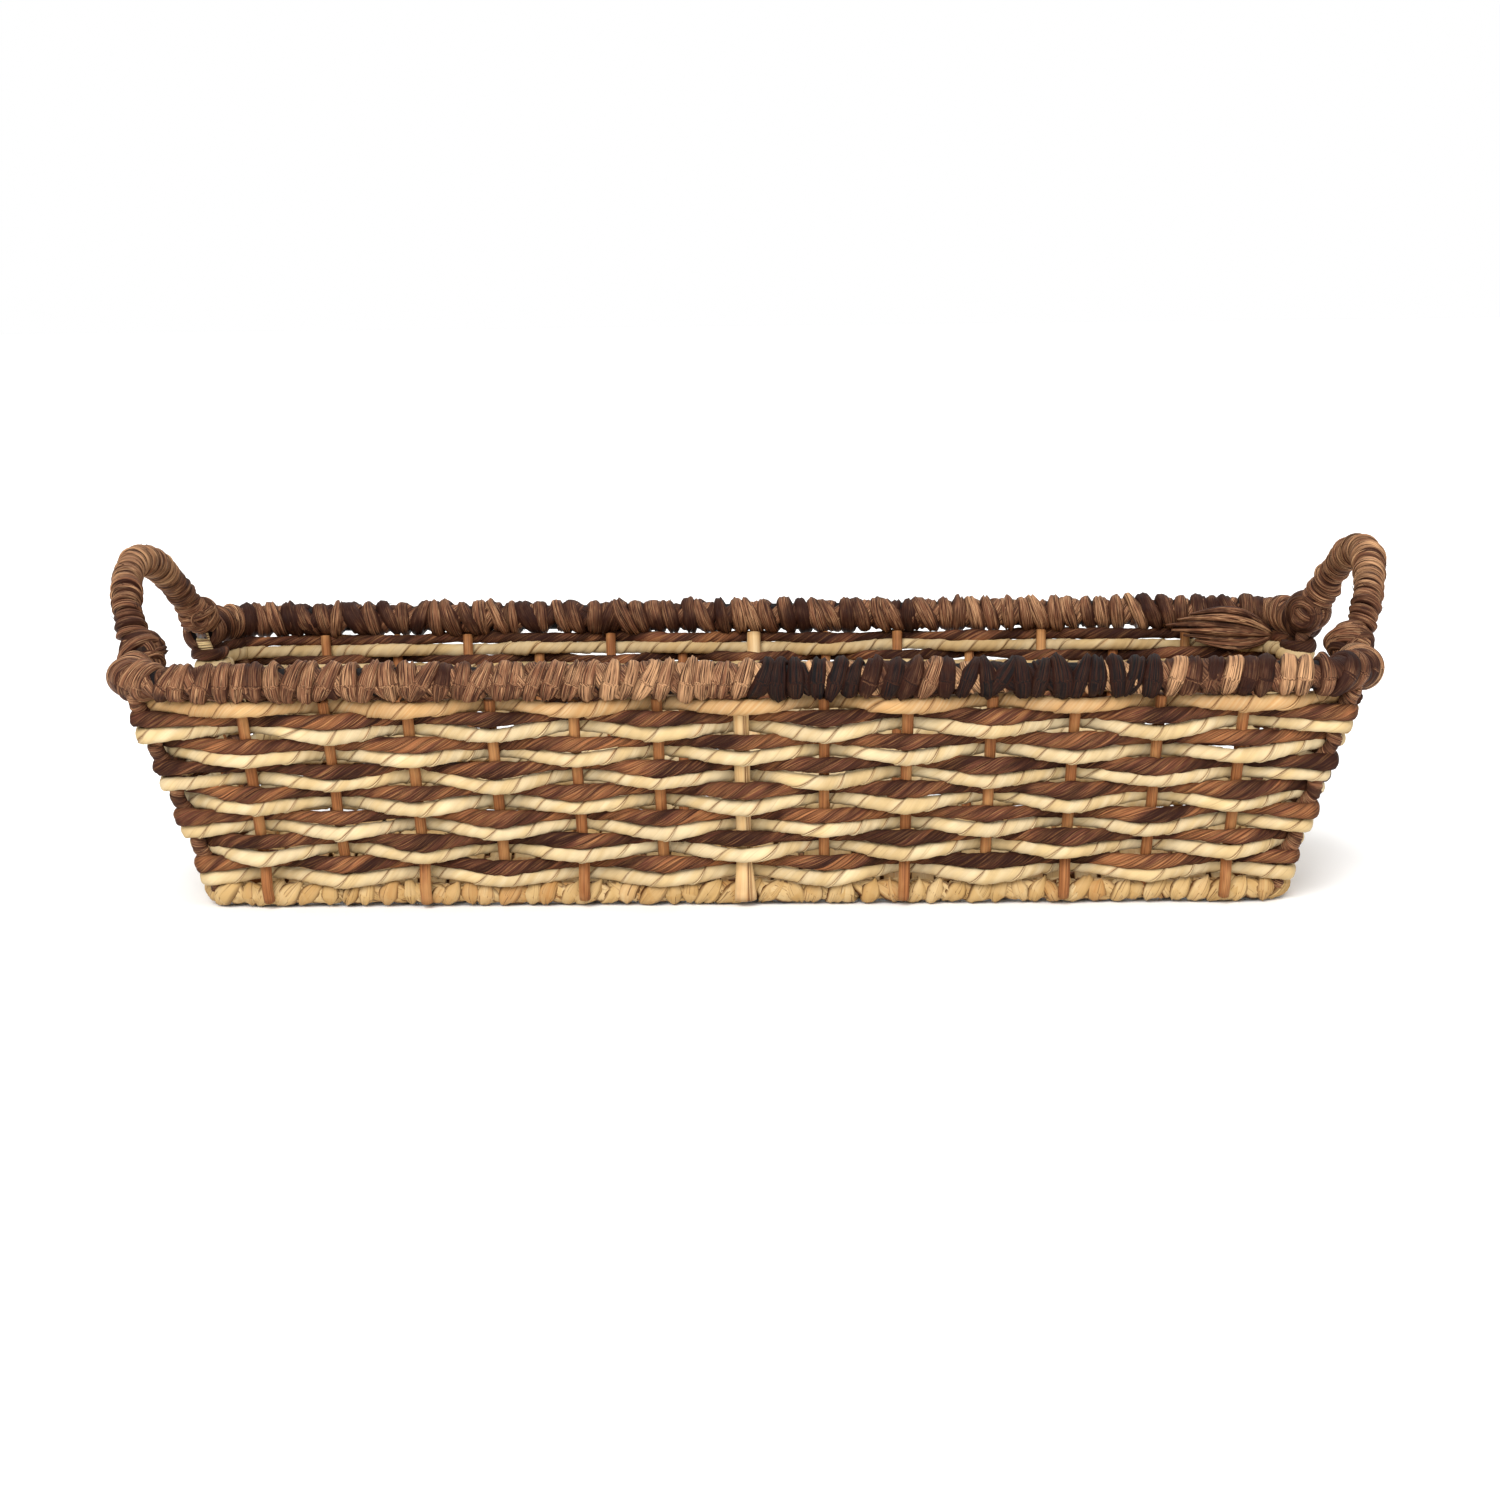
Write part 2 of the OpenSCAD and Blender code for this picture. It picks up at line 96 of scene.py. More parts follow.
class Wall:
    """The uprights of the basket and the wall line that runs through them."""

    CORNER_BOW = 0.62  # how far the wall line bows out where it turns a corner
    NODES = ("stakes_front", "stakes_rear", "stakes_left", "stakes_right",
             "centre_post_wraps", "corner_post_wraps", "handle_leg_wraps")

    def __init__(self):
        low, high, low_kind = [], [], []
        for name in self.NODES:
            bottoms, tops = rod_ends(name)
            low += bottoms
            high += tops
            low_kind += [name] * len(bottoms)
        low, high = np.array(low), np.array(high)
        order = round_order(low)
        self.low, self.high = low[order], high[round_order(high)]
        self.kind = [low_kind[i] for i in order]
        self.count = len(order)
        corner = np.array([kind == "corner_post_wraps" for kind in self.kind])
        inner = np.abs(self.low[corner]).min(0)
        self.out = np.zeros((self.count, 3))
        for i, point in enumerate(self.low):
            if corner[i]:
                self.out[i, :2] = np.sign(point[:2]) * np.sqrt(0.5)
            elif abs(point[0]) > inner[0]:
                self.out[i, 0] = np.sign(point[0])
            else:
                self.out[i, 1] = np.sign(point[1])
        self.centres = [i for i, kind in enumerate(self.kind) if kind == "centre_post_wraps"]
        self.front_centre = min(self.centres, key=lambda i: self.low[i, 1])
        self.legs = [i for i, kind in enumerate(self.kind) if kind == "handle_leg_wraps"]

    def upright(self, k, z):
        k = np.asarray(k) % self.count
        share = (z - self.low[k, 2]) / (self.high[k, 2] - self.low[k, 2])
        return self.low[k] + (self.high[k] - self.low[k]) * np.asarray(share)[..., None]

    def along(self, turn, z):
        """A point of the wall line and its outward direction; turn counts the uprights."""
        k = np.floor(turn).astype(int)
        t = (turn - k)[..., None]
        a, b = self.upright(k, z), self.upright(k + 1, z)
        out_a, out_b = self.out[k % self.count], self.out[(k + 1) % self.count]
        bend = 1 - (out_a * out_b).sum(-1, keepdims=True)
        span = np.linalg.norm(b - a, axis=-1, keepdims=True)
        out = out_a + (out_b - out_a) * (t * t * (3 - 2 * t))
        out /= np.linalg.norm(out, axis=-1, keepdims=True)
        return a + (b - a) * t + out * span * bend * self.CORNER_BOW * t * (1 - t), out


class Measures:
    """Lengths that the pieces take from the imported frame."""

    def __init__(self):
        low, high = node_box("rim_wrap_front")
        self.rim_r = (high[2] - low[2]) / 2
        self.rim_z = (high[2] + low[2]) / 2
        self.rim_hx = high[0] - self.rim_r
        self.rim_hy = -low[1] - self.rim_r
        self.rim_end = abs(high[1])
        post = np.abs(WALL.high[WALL.kind.index("corner_post_wraps")])
        self.rim_corner = (self.rim_hx - post[0]) / (1 - np.sqrt(0.5))
        low, high = node_box("base_border_wrap")
        self.border_r = (high[2] - low[2]) / 2
        self.border_z = (high[2] + low[2]) / 2
        self.border_hx = high[0] - self.border_r
        self.border_hy = high[1] - self.border_r
        low, high = node_box("foot_lashing_rear_right")
        self.lump_r = (high[0] - low[0]) / 2
        self.leg_y = high[1] - self.lump_r
        low, high = node_box("handle_wrap_right")
        bow_high = node_box("handle_bow_right")[1]
        self.bow_r = bow_high[1] - self.leg_y
        self.arch_z = bow_high[2] - self.bow_r
        self.arch_x = bow_high[0] - self.bow_r
        self.handle_r = high[2] - self.arch_z
        low, high = node_box("end_rail_wrap_right")
        self.rail_r = (high[2] - low[2]) / 2
        self.rail = np.array([(low[0] + high[0]) / 2, high[1], (low[2] + high[2]) / 2])
        self.row_pitch = self.row_z("strand_06") - self.row_z("strand_07")
        rows_above = 5.5  # from the middle of row 6 to the upper side of row 1
        self.weave_high = self.row_z("strand_06") + rows_above * self.row_pitch
        self.rear_pitch = self.row_z("strand_01_rear") - self.row_z("strand_02_rear")
        self.stake_r = self.rod_radius("stakes_front")
        self.post_r = self.rod_radius("handle_leg_wraps")

    @staticmethod
    def row_z(name):
        low, high = node_box(name)
        return (low[2] + high[2]) / 2

    @staticmethod
    def rod_radius(name, reach=6.5 * MM, foot=3 * MM):
        """Half the width of one upright rod, taken at its foot, where its lean adds nothing."""
        points = node_points(name)
        near = points[np.linalg.norm(points[:, :2] - points[0, :2], axis=1) < reach]
        near = near[near[:, 2] < near[:, 2].min() + foot]
        return (near[:, 0].max() - near[:, 0].min()) / 2


WALL = Wall()
SIZE = Measures()


# ---------------------------------------------------------------- sizes and colours

def distance(title, about, value, low, high):
    """A length that a user would change; the three numbers are millimetres."""
    return FloatProperty(name=title, description=about, default=value * MM, min=low * MM, max=high * MM,
                         subtype="DISTANCE", unit="LENGTH")


class BasketSizes(PropertyGroup):
    light_size: distance("Light strand", "Thickness of a pale rolled strand", 5.0, 3, 7)
    dark_size: distance("Dark strand", "Thickness of a dark twisted strand", 4.9, 3, 7)
    first_size: distance("First strand", "Thickness of the strand under the front rim", 5.4, 3, 7)
    roll_pitch: distance("Roll pitch", "Length of one turn of a rolled strand", 13.5, 8, 40)
    twist_pitch: distance("Twist pitch", "Length of one turn of a twisted strand", 26, 12, 60)
    dip: distance("Dip", "How far a pale strand dips in front of a stake", 1.45, 0, 3)
    rim_pitch: distance("Rim strip pitch", "Distance from one rim strip to the next", 6.6, 3, 12)
    coil_pitch: distance("Handle coil pitch", "Distance from one handle coil to the next", 3.7, 2, 8)
    border_pitch: distance("Border strip pitch", "Distance from one border strip to the next", 7.4, 4, 14)
    loose_fibres: IntProperty(name="Loose fibres", default=420, min=0, max=3000,
                              description="Number of fine fibres that stand off the wraps")


def shade(title, about, value):
    """A colour that a user would change."""
    return FloatVectorProperty(name=title, description=about, default=value, min=0, max=1,
                               size=3, subtype="COLOR")


class BasketColours(PropertyGroup):
    cream: shade("Cream leaf", "Main colour of the pale strands", (0.64, 0.475, 0.235))
    cream_light: shade("Cream leaf, light", "Lit folds of the pale strands", (0.72, 0.585, 0.35))
    cream_tan: shade("Cream leaf, tan", "Tan bands and the strand under the rim", (0.52, 0.28, 0.105))
    # This colour also paints the shade in the hollows of the pale leaf.
    seam: shade("Seam", "Edge of the rolled leaf", (0.11, 0.042, 0.014))
    plum: shade("Dark leaf, plum", "Darkest colour of the twisted strands", (0.024, 0.0070, 0.0040))
    brown: shade("Dark leaf, brown", "Main colour of the twisted strands", (0.128, 0.043, 0.023))
    copper: shade("Dark leaf, copper", "Coppery patches of the twisted strands", (0.33, 0.125, 0.048))
    fibre: shade("Fibre", "Pale fibres of the dark leaf", (0.52, 0.26, 0.10))
    wrap_brown: shade("Wrap, brown", "Main colour of the rim and handle leaf", (0.165, 0.067, 0.033))
    wrap_tan: shade("Wrap, tan", "Palest colour of the rim and handle leaf", (0.55, 0.31, 0.155))
    wrap_black: shade("Wrap, black", "Blue-black strips of the rim", (0.0045, 0.0036, 0.0042))
    cane: shade("Cane", "Main colour of the stakes", (0.29, 0.112, 0.038))
    cane_dark: shade("Cane, dark", "Grain of the stakes", (0.15, 0.052, 0.018))
    wire: shade("Wire", "Bent steel wire inside the wraps", (0.10, 0.095, 0.09))


# ---------------------------------------------------------------- small mesh kit

def smooth_noise(rng, count, step, closed=False):
    """Smooth random values from -1 to 1, with a fresh one about every step samples."""
    knots = max(3, int(count / step) + 1)
    values = rng.uniform(-1, 1, knots)
    values = np.append(values, values[0] if closed else rng.uniform(-1, 1))
    x = np.linspace(0, knots, count, endpoint=not closed)
    k = np.minimum(x.astype(int), knots - 1)
    t = ease_in_out(x - k)
    return values[k] * (1 - t) + values[k + 1] * t


def round_angles(places):
    return np.arange(places) * TAU / places


def ease_in_out(t):
    return t * t * (3 - 2 * t)


def unit(v):
    return v / np.maximum(np.linalg.norm(v, axis=-1, keepdims=True), 1e-12)


def spread(a, b, c):
    """Three arrays or numbers as one array with a last axis of three."""
    return np.stack(np.broadcast_arrays(a, b, c), -1).astype(float)


class Sheaf:
    """Collects closed swept solids and makes one mesh of them.

    Every point carries two triples for the finishes. leaf is the length along the strip, the length
    across it and its share from edge to edge. tone is the strip's own tone, the seed of its grain and
    how much it is darkened, which paints shade and some dirt."""

    LOWEST = 0.2 * MM  # no leaf sinks into the ground

    def __init__(self):
        self.points, self.faces, self.leaf, self.tone, self.total = [], [], [], [], 0

    def grid(self, points, leaf, tone, loop=False):
        """points is rings by places round a ring; loop joins the last ring to the first."""
        rings, places = points.shape[:2]
        ids = self.total + np.arange(rings * places).reshape(rings, places)
        after = np.roll(ids, -1, axis=1)
        rows = np.arange(rings if loop else rings - 1)
        following = (rows + 1) % rings
        quads = np.stack([ids[rows], after[rows], after[following], ids[following]], -1)
        self.faces.append(quads.reshape(-1, 4))
        tone = np.broadcast_to(np.asarray(tone, float), (rings, places, 3))
        self.points.append(points.reshape(-1, 3))
        self.leaf.append(leaf.reshape(-1, 3))
        self.tone.append(tone.reshape(-1, 3))
        self.total += rings * places
        if not loop:
            for end, order in ((0, -1), (rings - 1, 1)):
                ring = ids[end][::order]
                hub = np.full(places, self.total)
                self.faces.append(np.stack([ring, np.roll(ring, -1), hub], -1))
                self.points.append(points[end].mean(0)[None])
                self.leaf.append(leaf[end].mean(0)[None])
                self.tone.append(tone[end, :1])
                self.total += 1

    def build(self, name, material, replaced, slot):
        mesh = bpy.data.meshes.new(name)
        points = np.concatenate(self.points)
        points[:, 2] = np.maximum(points[:, 2], self.LOWEST)
        loops = np.concatenate([f.reshape(-1) for f in self.faces])
        sizes = np.concatenate([np.full(len(f), f.shape[1]) for f in self.faces])
        mesh.vertices.add(len(points))
        mesh.vertices.foreach_set("co", points.astype(np.float32).reshape(-1))
        mesh.loops.add(len(loops))
        mesh.loops.foreach_set("vertex_index", loops.astype(np.int32))
        mesh.polygons.add(len(sizes))
        mesh.polygons.foreach_set("loop_start", np.concatenate([[0], np.cumsum(sizes)[:-1]]).astype(np.int32))
        mesh.polygons.foreach_set("use_smooth", np.ones(len(sizes), bool))
        mesh.update(calc_edges=True)
        for title, values in (("leaf", self.leaf), ("tone", self.tone)):
            layer = mesh.attributes.new(title, "FLOAT_VECTOR", "POINT")
            layer.data.foreach_set("vector", np.concatenate(values).astype(np.float32).reshape(-1))
        mesh.materials.append(material)
        piece = bpy.data.objects.new(name, mesh)
        bpy.context.scene.collection.objects.link(piece)
        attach(piece, "root")
        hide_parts(*replaced)
        return piece


def arc_length(path):
    return np.concatenate([[0], np.cumsum(np.linalg.norm(np.diff(path, axis=0), axis=1))])


def resample(path, step):
    """The same path with points at even steps, and any further columns with it."""
    s = arc_length(path[:, :3])
    even = np.linspace(0, s[-1], max(4, int(s[-1] / step) + 1))
    return np.stack([np.interp(even, s, path[:, i]) for i in range(path.shape[1])], -1)


def frames(path, reference, loop=False):
    """Forward, sideways and upward directions along a path, upward kept near reference."""
    if loop:
        forward = unit(np.roll(path, -1, 0) - np.roll(path, 1, 0))
    else:
        forward = unit(np.gradient(path, axis=0))
    side = unit(np.cross(forward, reference))
    return forward, side, np.cross(side, forward)


def place_on(path_s, values, s):
    return np.stack([np.interp(s, path_s, values[:, i]) for i in range(3)], -1)


class Rope:
    """A line that strips are wound round, with its forward, sideways and upward directions."""

    def __init__(self, path, reference=UP):
        self.path = path
        self.s = arc_length(path)
        self.length = self.s[-1]
        self.forward, self.side, self.up = frames(path, reference)

    def round(self, s, around):
        """Points of the line at lengths s, and the directions out of it at the angles around."""
        middle, sideways, upward = (place_on(self.s, v, s) for v in (self.path, self.side, self.up))
        return middle, np.cos(around)[:, None] * sideways + np.sin(around)[:, None] * upward


def sweep(sheaf, path, radius, angles, rise, twist, share, tone,
          loop=False, reference=UP, wide=1.0, tall=1.0):
    """A round strand: rise is the share of the radius at each angle; the angles turn with twist."""
    _, side, up = frames(path, reference, loop)
    turn = angles[None, :] + twist[:, None]
    reach = radius[:, None] * rise
    points = (path[:, None] + (reach * np.cos(turn) * wide)[..., None] * side[:, None]
              + (reach * np.sin(turn) * tall)[..., None] * up[:, None])
    leaf = spread(arc_length(path)[:, None], angles[None, :] * radius.mean(), share[None, :])
    sheaf.grid(points, leaf, tone, loop)


def band(sheaf, rng, line, normal, width, height, tone, loop=True, ridge=0.12, crease=0.4, fullness=0.62):
    """A strip of leaf laid along line: crowned, ridged with fibre, sometimes folded along its middle."""
    if loop:
        forward = unit(np.roll(line, -1, 0) - np.roll(line, 1, 0))
    else:
        forward = unit(np.gradient(line, axis=0))
    across = unit(np.cross(forward, normal))
    rise_dir = np.cross(across, forward)
    count = len(line)
    places, crown_power, ridge_step, fold_width = 11, 2.1, 9, 0.16
    under_out, under_lift = 0.55, -0.3  # the underside's two corners: shares of half the width, of the height
    u = np.sin(np.linspace(-np.pi / 2, np.pi / 2, places))
    crown = (1 - np.abs(u) ** crown_power) ** fullness
    ridges = [smooth_noise(rng, count, ridge_step, loop) + rng.uniform(-1, 1) for _ in u]
    ridges = ridge * np.stack(ridges, -1) * crown
    fold = 0.0
    if rng.random() < crease:
        middle = rng.uniform(-0.45, 0.45)
        fold = -rng.uniform(0.2, 0.5) * np.exp(-((u - middle) / fold_width) ** 2)
    tall = height[:, None] * (crown[None, :] * (1 + fold) + ridges)
    out = np.concatenate([u, [under_out, -under_out]])
    lift = np.concatenate([tall, under_lift * height[:, None] * np.ones((1, 2))], 1)
    points = (line[:, None] + (width[:, None] / 2 * out[None, :])[..., None] * across[:, None]
              + lift[..., None] * rise_dir[:, None])
    share = (out + 1) / 2
    share[-2:] = 0
    leaf = spread(arc_length(line)[:, None], width.mean() / 2 * out[None, :], share[None, :])
    sheaf.grid(points, leaf, tone, loop)


def leaf_tone(rng, tone, shade_and_dirt=0.0):
    """What one strip tells its finish: its tone, a seed for its grain, and how much it is darkened to paint
    shade and some dirt.
    """
    return np.array([tone, rng.uniform(0, 60), shade_and_dirt])


# ---------------------------------------------------------------- strands of the wall

STRAND_STEP = 0.95 * MM   # distance between the rings of a strand
STRAND_NEST = 0.84        # share of its radius that keeps a strand off the upright that it passes
STRAND_SQUEEZE = 0.12     # how much narrower a strand is where it passes an upright


def turns_of(length, pitch, loop):
    """How often a strand turns; whole turns where it closes on itself."""
    return round(length / pitch) if loop else length / pitch


def rolled_strand(sheaf, rng, path, radius, loop, pitch, tone, swell):
    """A pale smooth strand: leaf rolled on the slant, so that its edge runs round it."""
    path, near = path[:, :3], path[:, 3]
    count, length = len(path), arc_length(path)[-1]
    places, rolled = 38, 0.992  # the roll stops just short of a full turn, so that its edge shows
    share = np.linspace(0, 1, places)
    angles = share * rolled * TAU
    turns = turns_of(length, pitch, loop)
    s = np.linspace(0, 1, count, endpoint=not loop)
    twist = TAU * turns * s + 1.5 * smooth_noise(rng, count, 17, loop) + rng.uniform(0, TAU)
    lift = 0.8 + 0.5 * smooth_noise(rng, count, 12, loop)[:, None]
    edge_step = 0.17  # the step at the leaf's edge, as a share of the radius
    rise = edge_step * (share ** 2.2 - 0.4)[None, :] * lift
    corner = 0.028 * np.cos(3 * angles[None, :] + 2 * smooth_noise(rng, count, 25, loop)[:, None])
    size = radius * (1 + 0.11 * smooth_noise(rng, count, 15, loop))
    tall = (1.07 + swell * near + 0.08 * smooth_noise(rng, count, 12, loop))[:, None]
    sweep(sheaf, path, size, angles, 1 + rise + corner, twist, share, tone, loop, tall=tall,
          wide=1 - STRAND_SQUEEZE * near[:, None])


def twisted_strand(sheaf, rng, path, radius, loop, pitch, tone, swell):
    """A dark strand: ribbons of leaf twisted together, with grooves and ridges of fibre."""
    path, near = path[:, :3], path[:, 3]
    count, length = len(path), arc_length(path)[-1]
    places, ribbons = 34, 3
    angles = round_angles(places)
    turns = turns_of(length, pitch, loop)
    s = np.linspace(0, 1, count, endpoint=not loop)
    twist = TAU * turns * s + 0.7 * smooth_noise(rng, count, 24, loop) + rng.uniform(0, TAU)
    ridges = np.stack([smooth_noise(rng, count, rng.uniform(9, 20), loop) for _ in range(places)], -1)
    groove = np.abs(np.sin(ribbons / 2 * angles + 0.4)) ** 0.5
    drift = 2.5 * smooth_noise(rng, count, 26, loop)[:, None]
    lobes = np.cos(2 * angles[None, :] + drift)
    groove_floor, groove_depth, lobe_depth, ridge_height = 0.84, 0.18, 0.05, 0.034
    rise = groove_floor + groove_depth * groove[None, :] + lobe_depth * lobes + ridge_height * ridges
    size = radius * (1 + 0.09 * smooth_noise(rng, count, 16, loop))
    tall = (1.0 + swell * near + 0.14 * smooth_noise(rng, count, 20, loop))[:, None]
    sweep(sheaf, path, size, angles, rise, twist, groove, tone, loop, tall=tall,
          wide=1 - STRAND_SQUEEZE * near[:, None])


def upright_radius(k):
    """The radius of upright k: a bare stake's or a wrapped post's."""
    return SIZE.stake_r if WALL.kind[k % WALL.count].startswith("stakes") else SIZE.post_r


def pair_side(pair, k):
    """1 where this pair of rows passes outside upright k, -1 where it passes inside."""
    return 1 if (pair + k - WALL.front_centre) % 2 == 0 else -1


def strand_line(rng, z_row, pair, first, last, radius, rises, loop):
    """The middle line of one row from upright first to last: in and out, up and down.

    rises is how far the row rises in front of an upright and behind it."""
    steps, uneven, corner_ease, straight = 24, 0.46 * MM, 0.9 * MM, 0.9
    ks = np.arange(first, last + 1)
    turn = np.arange(first, last, 1 / steps)
    turn = turn if loop else np.append(turn, last)
    sides = np.array([pair_side(pair, k) for k in ks], float)
    jitter = rng.normal(0, uneven, (2, len(ks)))
    jitter[:, -1] = jitter[:, 0] if loop else jitter[:, -1]
    swing = np.array([upright_radius(k) for k in ks]) + radius * STRAND_NEST
    swing -= np.array([corner_ease if WALL.kind[k % WALL.count].startswith("corner") else 0 for k in ks])
    wave = np.where(sides > 0, rises[0], rises[1])
    i = np.minimum((turn - first).astype(int), len(ks) - 2)
    t = turn - first - i
    ease = (1 - np.cos(np.pi * t)) / 2
    bent = (1 - straight) * ease + straight * t
    level = z_row + wave[i] * (1 - bent) + wave[i + 1] * bent
    level += jitter[0, i] * (1 - ease) + jitter[0, i + 1] * ease
    offset = sides[i] * swing[i] * (1 - ease) + sides[i + 1] * swing[i + 1] * ease
    offset += jitter[1, i] * (1 - ease) + jitter[1, i + 1] * ease
    point, out = WALL.along(turn, level)
    path = point + out * offset[:, None]
    path[:, 2] = level
    path = np.column_stack([path, np.cos(np.pi * t) ** 2])
    if loop:
        return resample(np.vstack([path, path[:1]]), STRAND_STEP)[:-1]
    return resample(turn_back(path, first, last, sides, radius), STRAND_STEP)


def turn_back(path, first, last, sides, radius):
    """Adds to an open strand its turn round the handle leg and its tucked tail, at both ends."""
    ends = []
    tail_length, sag = 10, 0.6  # millimetres
    for k, side, here, before in ((first, sides[0], 0, 1), (last, sides[-1], -1, -2)):
        z = path[here, 2]
        reach = upright_radius(k) + radius * STRAND_NEST
        outward = WALL.out[k % WALL.count]
        away = np.cross(outward, UP)
        away = away * np.sign(away @ (path[here, :3] - path[before, :3]))
        bend = np.linspace(0, np.pi, 14)[1:, None]
        loop = WALL.upright(k, z) + reach * (np.cos(bend) * side * outward + np.sin(bend) * away)
        tail = loop[-1] - away * np.linspace(1, tail_length, 5)[:, None] * MM
        added = np.vstack([loop, tail])
        added[:, 2] = z - np.linspace(0, sag, len(added)) * MM
        ends.append(np.column_stack([added, np.linspace(1, 0, len(added))]))
    return np.vstack([ends[0][::-1], path, ends[1]])


def weave_row(name, dark, pair, first, last, loop, radius, rises, tone, swell, shade_and_dirt):
    """Weaves one row of the wall and makes its piece."""
    seed = sum(ord(letter) * (i + 3) for i, letter in enumerate(name))
    rng = np.random.default_rng(seed)
    sizes = bpy.context.scene.basket_sizes
    path = strand_line(rng, Measures.row_z(name), pair, first, last, radius, rises, loop)
    sheaf = Sheaf()
    tones = leaf_tone(rng, tone, shade_and_dirt)
    if dark:
        twisted_strand(sheaf, rng, path, radius, loop, sizes.twist_pitch, tones, swell)
    else:
        rolled_strand(sheaf, rng, path, radius, loop, sizes.roll_pitch, tones, swell)
    title = "".join(part.capitalize() + "_" for part in name.split("_"))[:-1]
    slot, material = ("dark_leaf", dark_leaf()) if dark else ("light_leaf", light_leaf())
    return sheaf.build(title, material, [name], slot)


# ---------------------------------------------------------------- wraps

def rounded_line(hx, hy, corner, z, step=1.5 * MM):
    """A rounded rectangle, anticlockwise from the middle of its left end."""
    points = [(-hx, 0)]
    for cx, cy, start in ((-hx + corner, -hy + corner, 180), (hx - corner, -hy + corner, 270),
                          (hx - corner, hy - corner, 0), (-hx + corner, hy - corner, 90)):
        for degree in np.arange(0, 91, 7.5):
            angle = np.radians(start + degree)
            points.append((cx + corner * np.cos(angle), cy + corner * np.sin(angle)))
    points.append((-hx, 0))
    line = np.column_stack([np.array(points), np.full(len(points), z)])
    return resample(line, step)


def lash(sheaf, rng, path, core, pitch, width, height, lean, tone_at, closed=False, pinch=0.26):
    """Fat strips wound round a rope side by side, over a flatter layer that leans the other way.

    lean is how far a strip runs along the rope as it goes round, and pinch how much it narrows."""
    rope = Rope(path)
    length = rope.length
    count = int(round(length / pitch))
    around = round_angles(20 if closed else 34)
    under, over = (-1.9, 0.5), (0.7, 0.7)  # mean and scatter of the two layers' slant, in shares of lean
    end_gap = 0.3 * pitch
    for layer, drop in ((0, 0.4), (1, 0.0)):
        for i in range(count):
            s = (i + (0.5 if layer else 0.0)) * pitch + rng.normal(0, 0.12) * pitch
            s = s % length if closed else np.clip(s, end_gap, length - end_gap)
            slant = lean * rng.normal(*(over if layer else under))
            bow = 0.09 * pitch * rng.normal() * np.cos(around)
            place = s + slant * np.sin(around) + bow
            place = place % length if closed else np.clip(place, 0, length)
            middle, normal = rope.round(place, around)
            lump = 1 + 0.045 * smooth_noise(rng, len(around), 8, True)
            reach = (core - height * drop * 0.6) * lump
            line = middle + reach[:, None] * normal
            end_up = rng.choice([-1, 1]) * rng.uniform(0.3, 1)
            narrow = pinch * (0.55 + 0.45 * end_up * np.sin(around)) * np.sin(around) ** 2
            wid = width * rng.normal(1.0, 0.08) * (1 - narrow * 1.25)
            tall = height * (1 - 0.25 * (layer == 0)) * rng.uniform(0.85, 1.2)
            tall = tall * (1 + 0.14 * smooth_noise(rng, len(around), 7, True))
            band(sheaf, rng, line, normal, wid, tall, tone_at(rng, middle[0], layer), fullness=0.5)


def coil(sheaf, rng, path, core, pitch, width, height, tone_at, reference=UP, lumps=0.05):
    """One long strip wound along a rod, turn beside turn."""
    rope = Rope(path, reference)
    length, places = rope.length, 24  # places round one turn
    turns = length / pitch
    count = int(turns * places)
    around = np.linspace(0, TAU * turns, count) + 0.5 * smooth_noise(rng, count, 30)
    s = np.linspace(0, length, count) + 0.16 * pitch * smooth_noise(rng, count, 20)
    s = np.clip(s, 0, length)
    middle, normal = rope.round(s, around)
    reach = core * (1 + lumps * smooth_noise(rng, count, 22) + 0.5 * lumps * smooth_noise(rng, count, 9))
    line = middle + reach[:, None] * normal
    wid = width * (1 + 0.14 * smooth_noise(rng, count, 24))
    tall = height * (1 + 0.25 * smooth_noise(rng, count, 18))
    tones = np.array([tone_at(rng, place, 1) for place in middle[::places]])
    knots = np.linspace(0, 1, len(tones))
    tone = np.stack([np.interp(np.linspace(0, 1, count), knots, tones[:, i]) for i in range(3)], -1)
    tone[:, 1] = tones[0, 1]
    band(sheaf, rng, line, unit(normal), wid, tall, tone[:, None], loop=False, crease=0.0, ridge=0.15,
         fullness=0.5)


def rope_core(sheaf, path, radius, tone, reference=UP):
    """The plain rope under a wrap, so that no gap shows daylight."""
    line = resample(path, 3 * MM)
    plain_rod(sheaf, line, np.full(len(line), radius), 14, tone, reference)


def plain_rod(sheaf, path, radius, places, tone, reference=UP, share=0.5):
    """A smooth round rod, a radius at each point of its path; share is where its leaf says it lies."""
    sweep(sheaf, path, radius, round_angles(places), np.ones((1, places)), np.zeros(len(path)),
          np.full(places, share), tone, False, reference)


def knot(sheaf, rng, centre, radius, axes, tone_at, width):
    """A lump of leaf wound over and over round a crossing."""
    height = 2.1 * MM
    around = np.linspace(0, TAU, 40, endpoint=False)
    for order, (axis, count, grow) in enumerate(axes):
        axis = unit(np.array(axis, float))
        for i in range(count):
            tilted = unit(axis + rng.normal(0, 0.16, 3))
            right = unit(np.cross(tilted, UP + 0.01))
            ahead = np.cross(tilted, right)
            off = (i - (count - 1) / 2) * 0.8 * width + rng.normal(0, 0.4) * MM
            full = radius * grow - 1.8 * MM
            smallest = 0.45 * full
            ring = np.sqrt(max(full ** 2 - off ** 2, smallest ** 2))
            ring = ring * (1 + 0.05 * smooth_noise(rng, len(around), 8, True))
            spoke = np.cos(around)[:, None] * right + np.sin(around)[:, None] * ahead
            line = centre + off * tilted + ring[:, None] * spoke
            normal = unit(line - centre)
            wid = width * rng.uniform(0.9, 1.25) * np.ones(len(around))
            tall = height * (1 + 0.25 * smooth_noise(rng, len(around), 8, True))
            band(sheaf, rng, line, normal, wid, tall, tone_at(rng, centre, order), fullness=0.5)


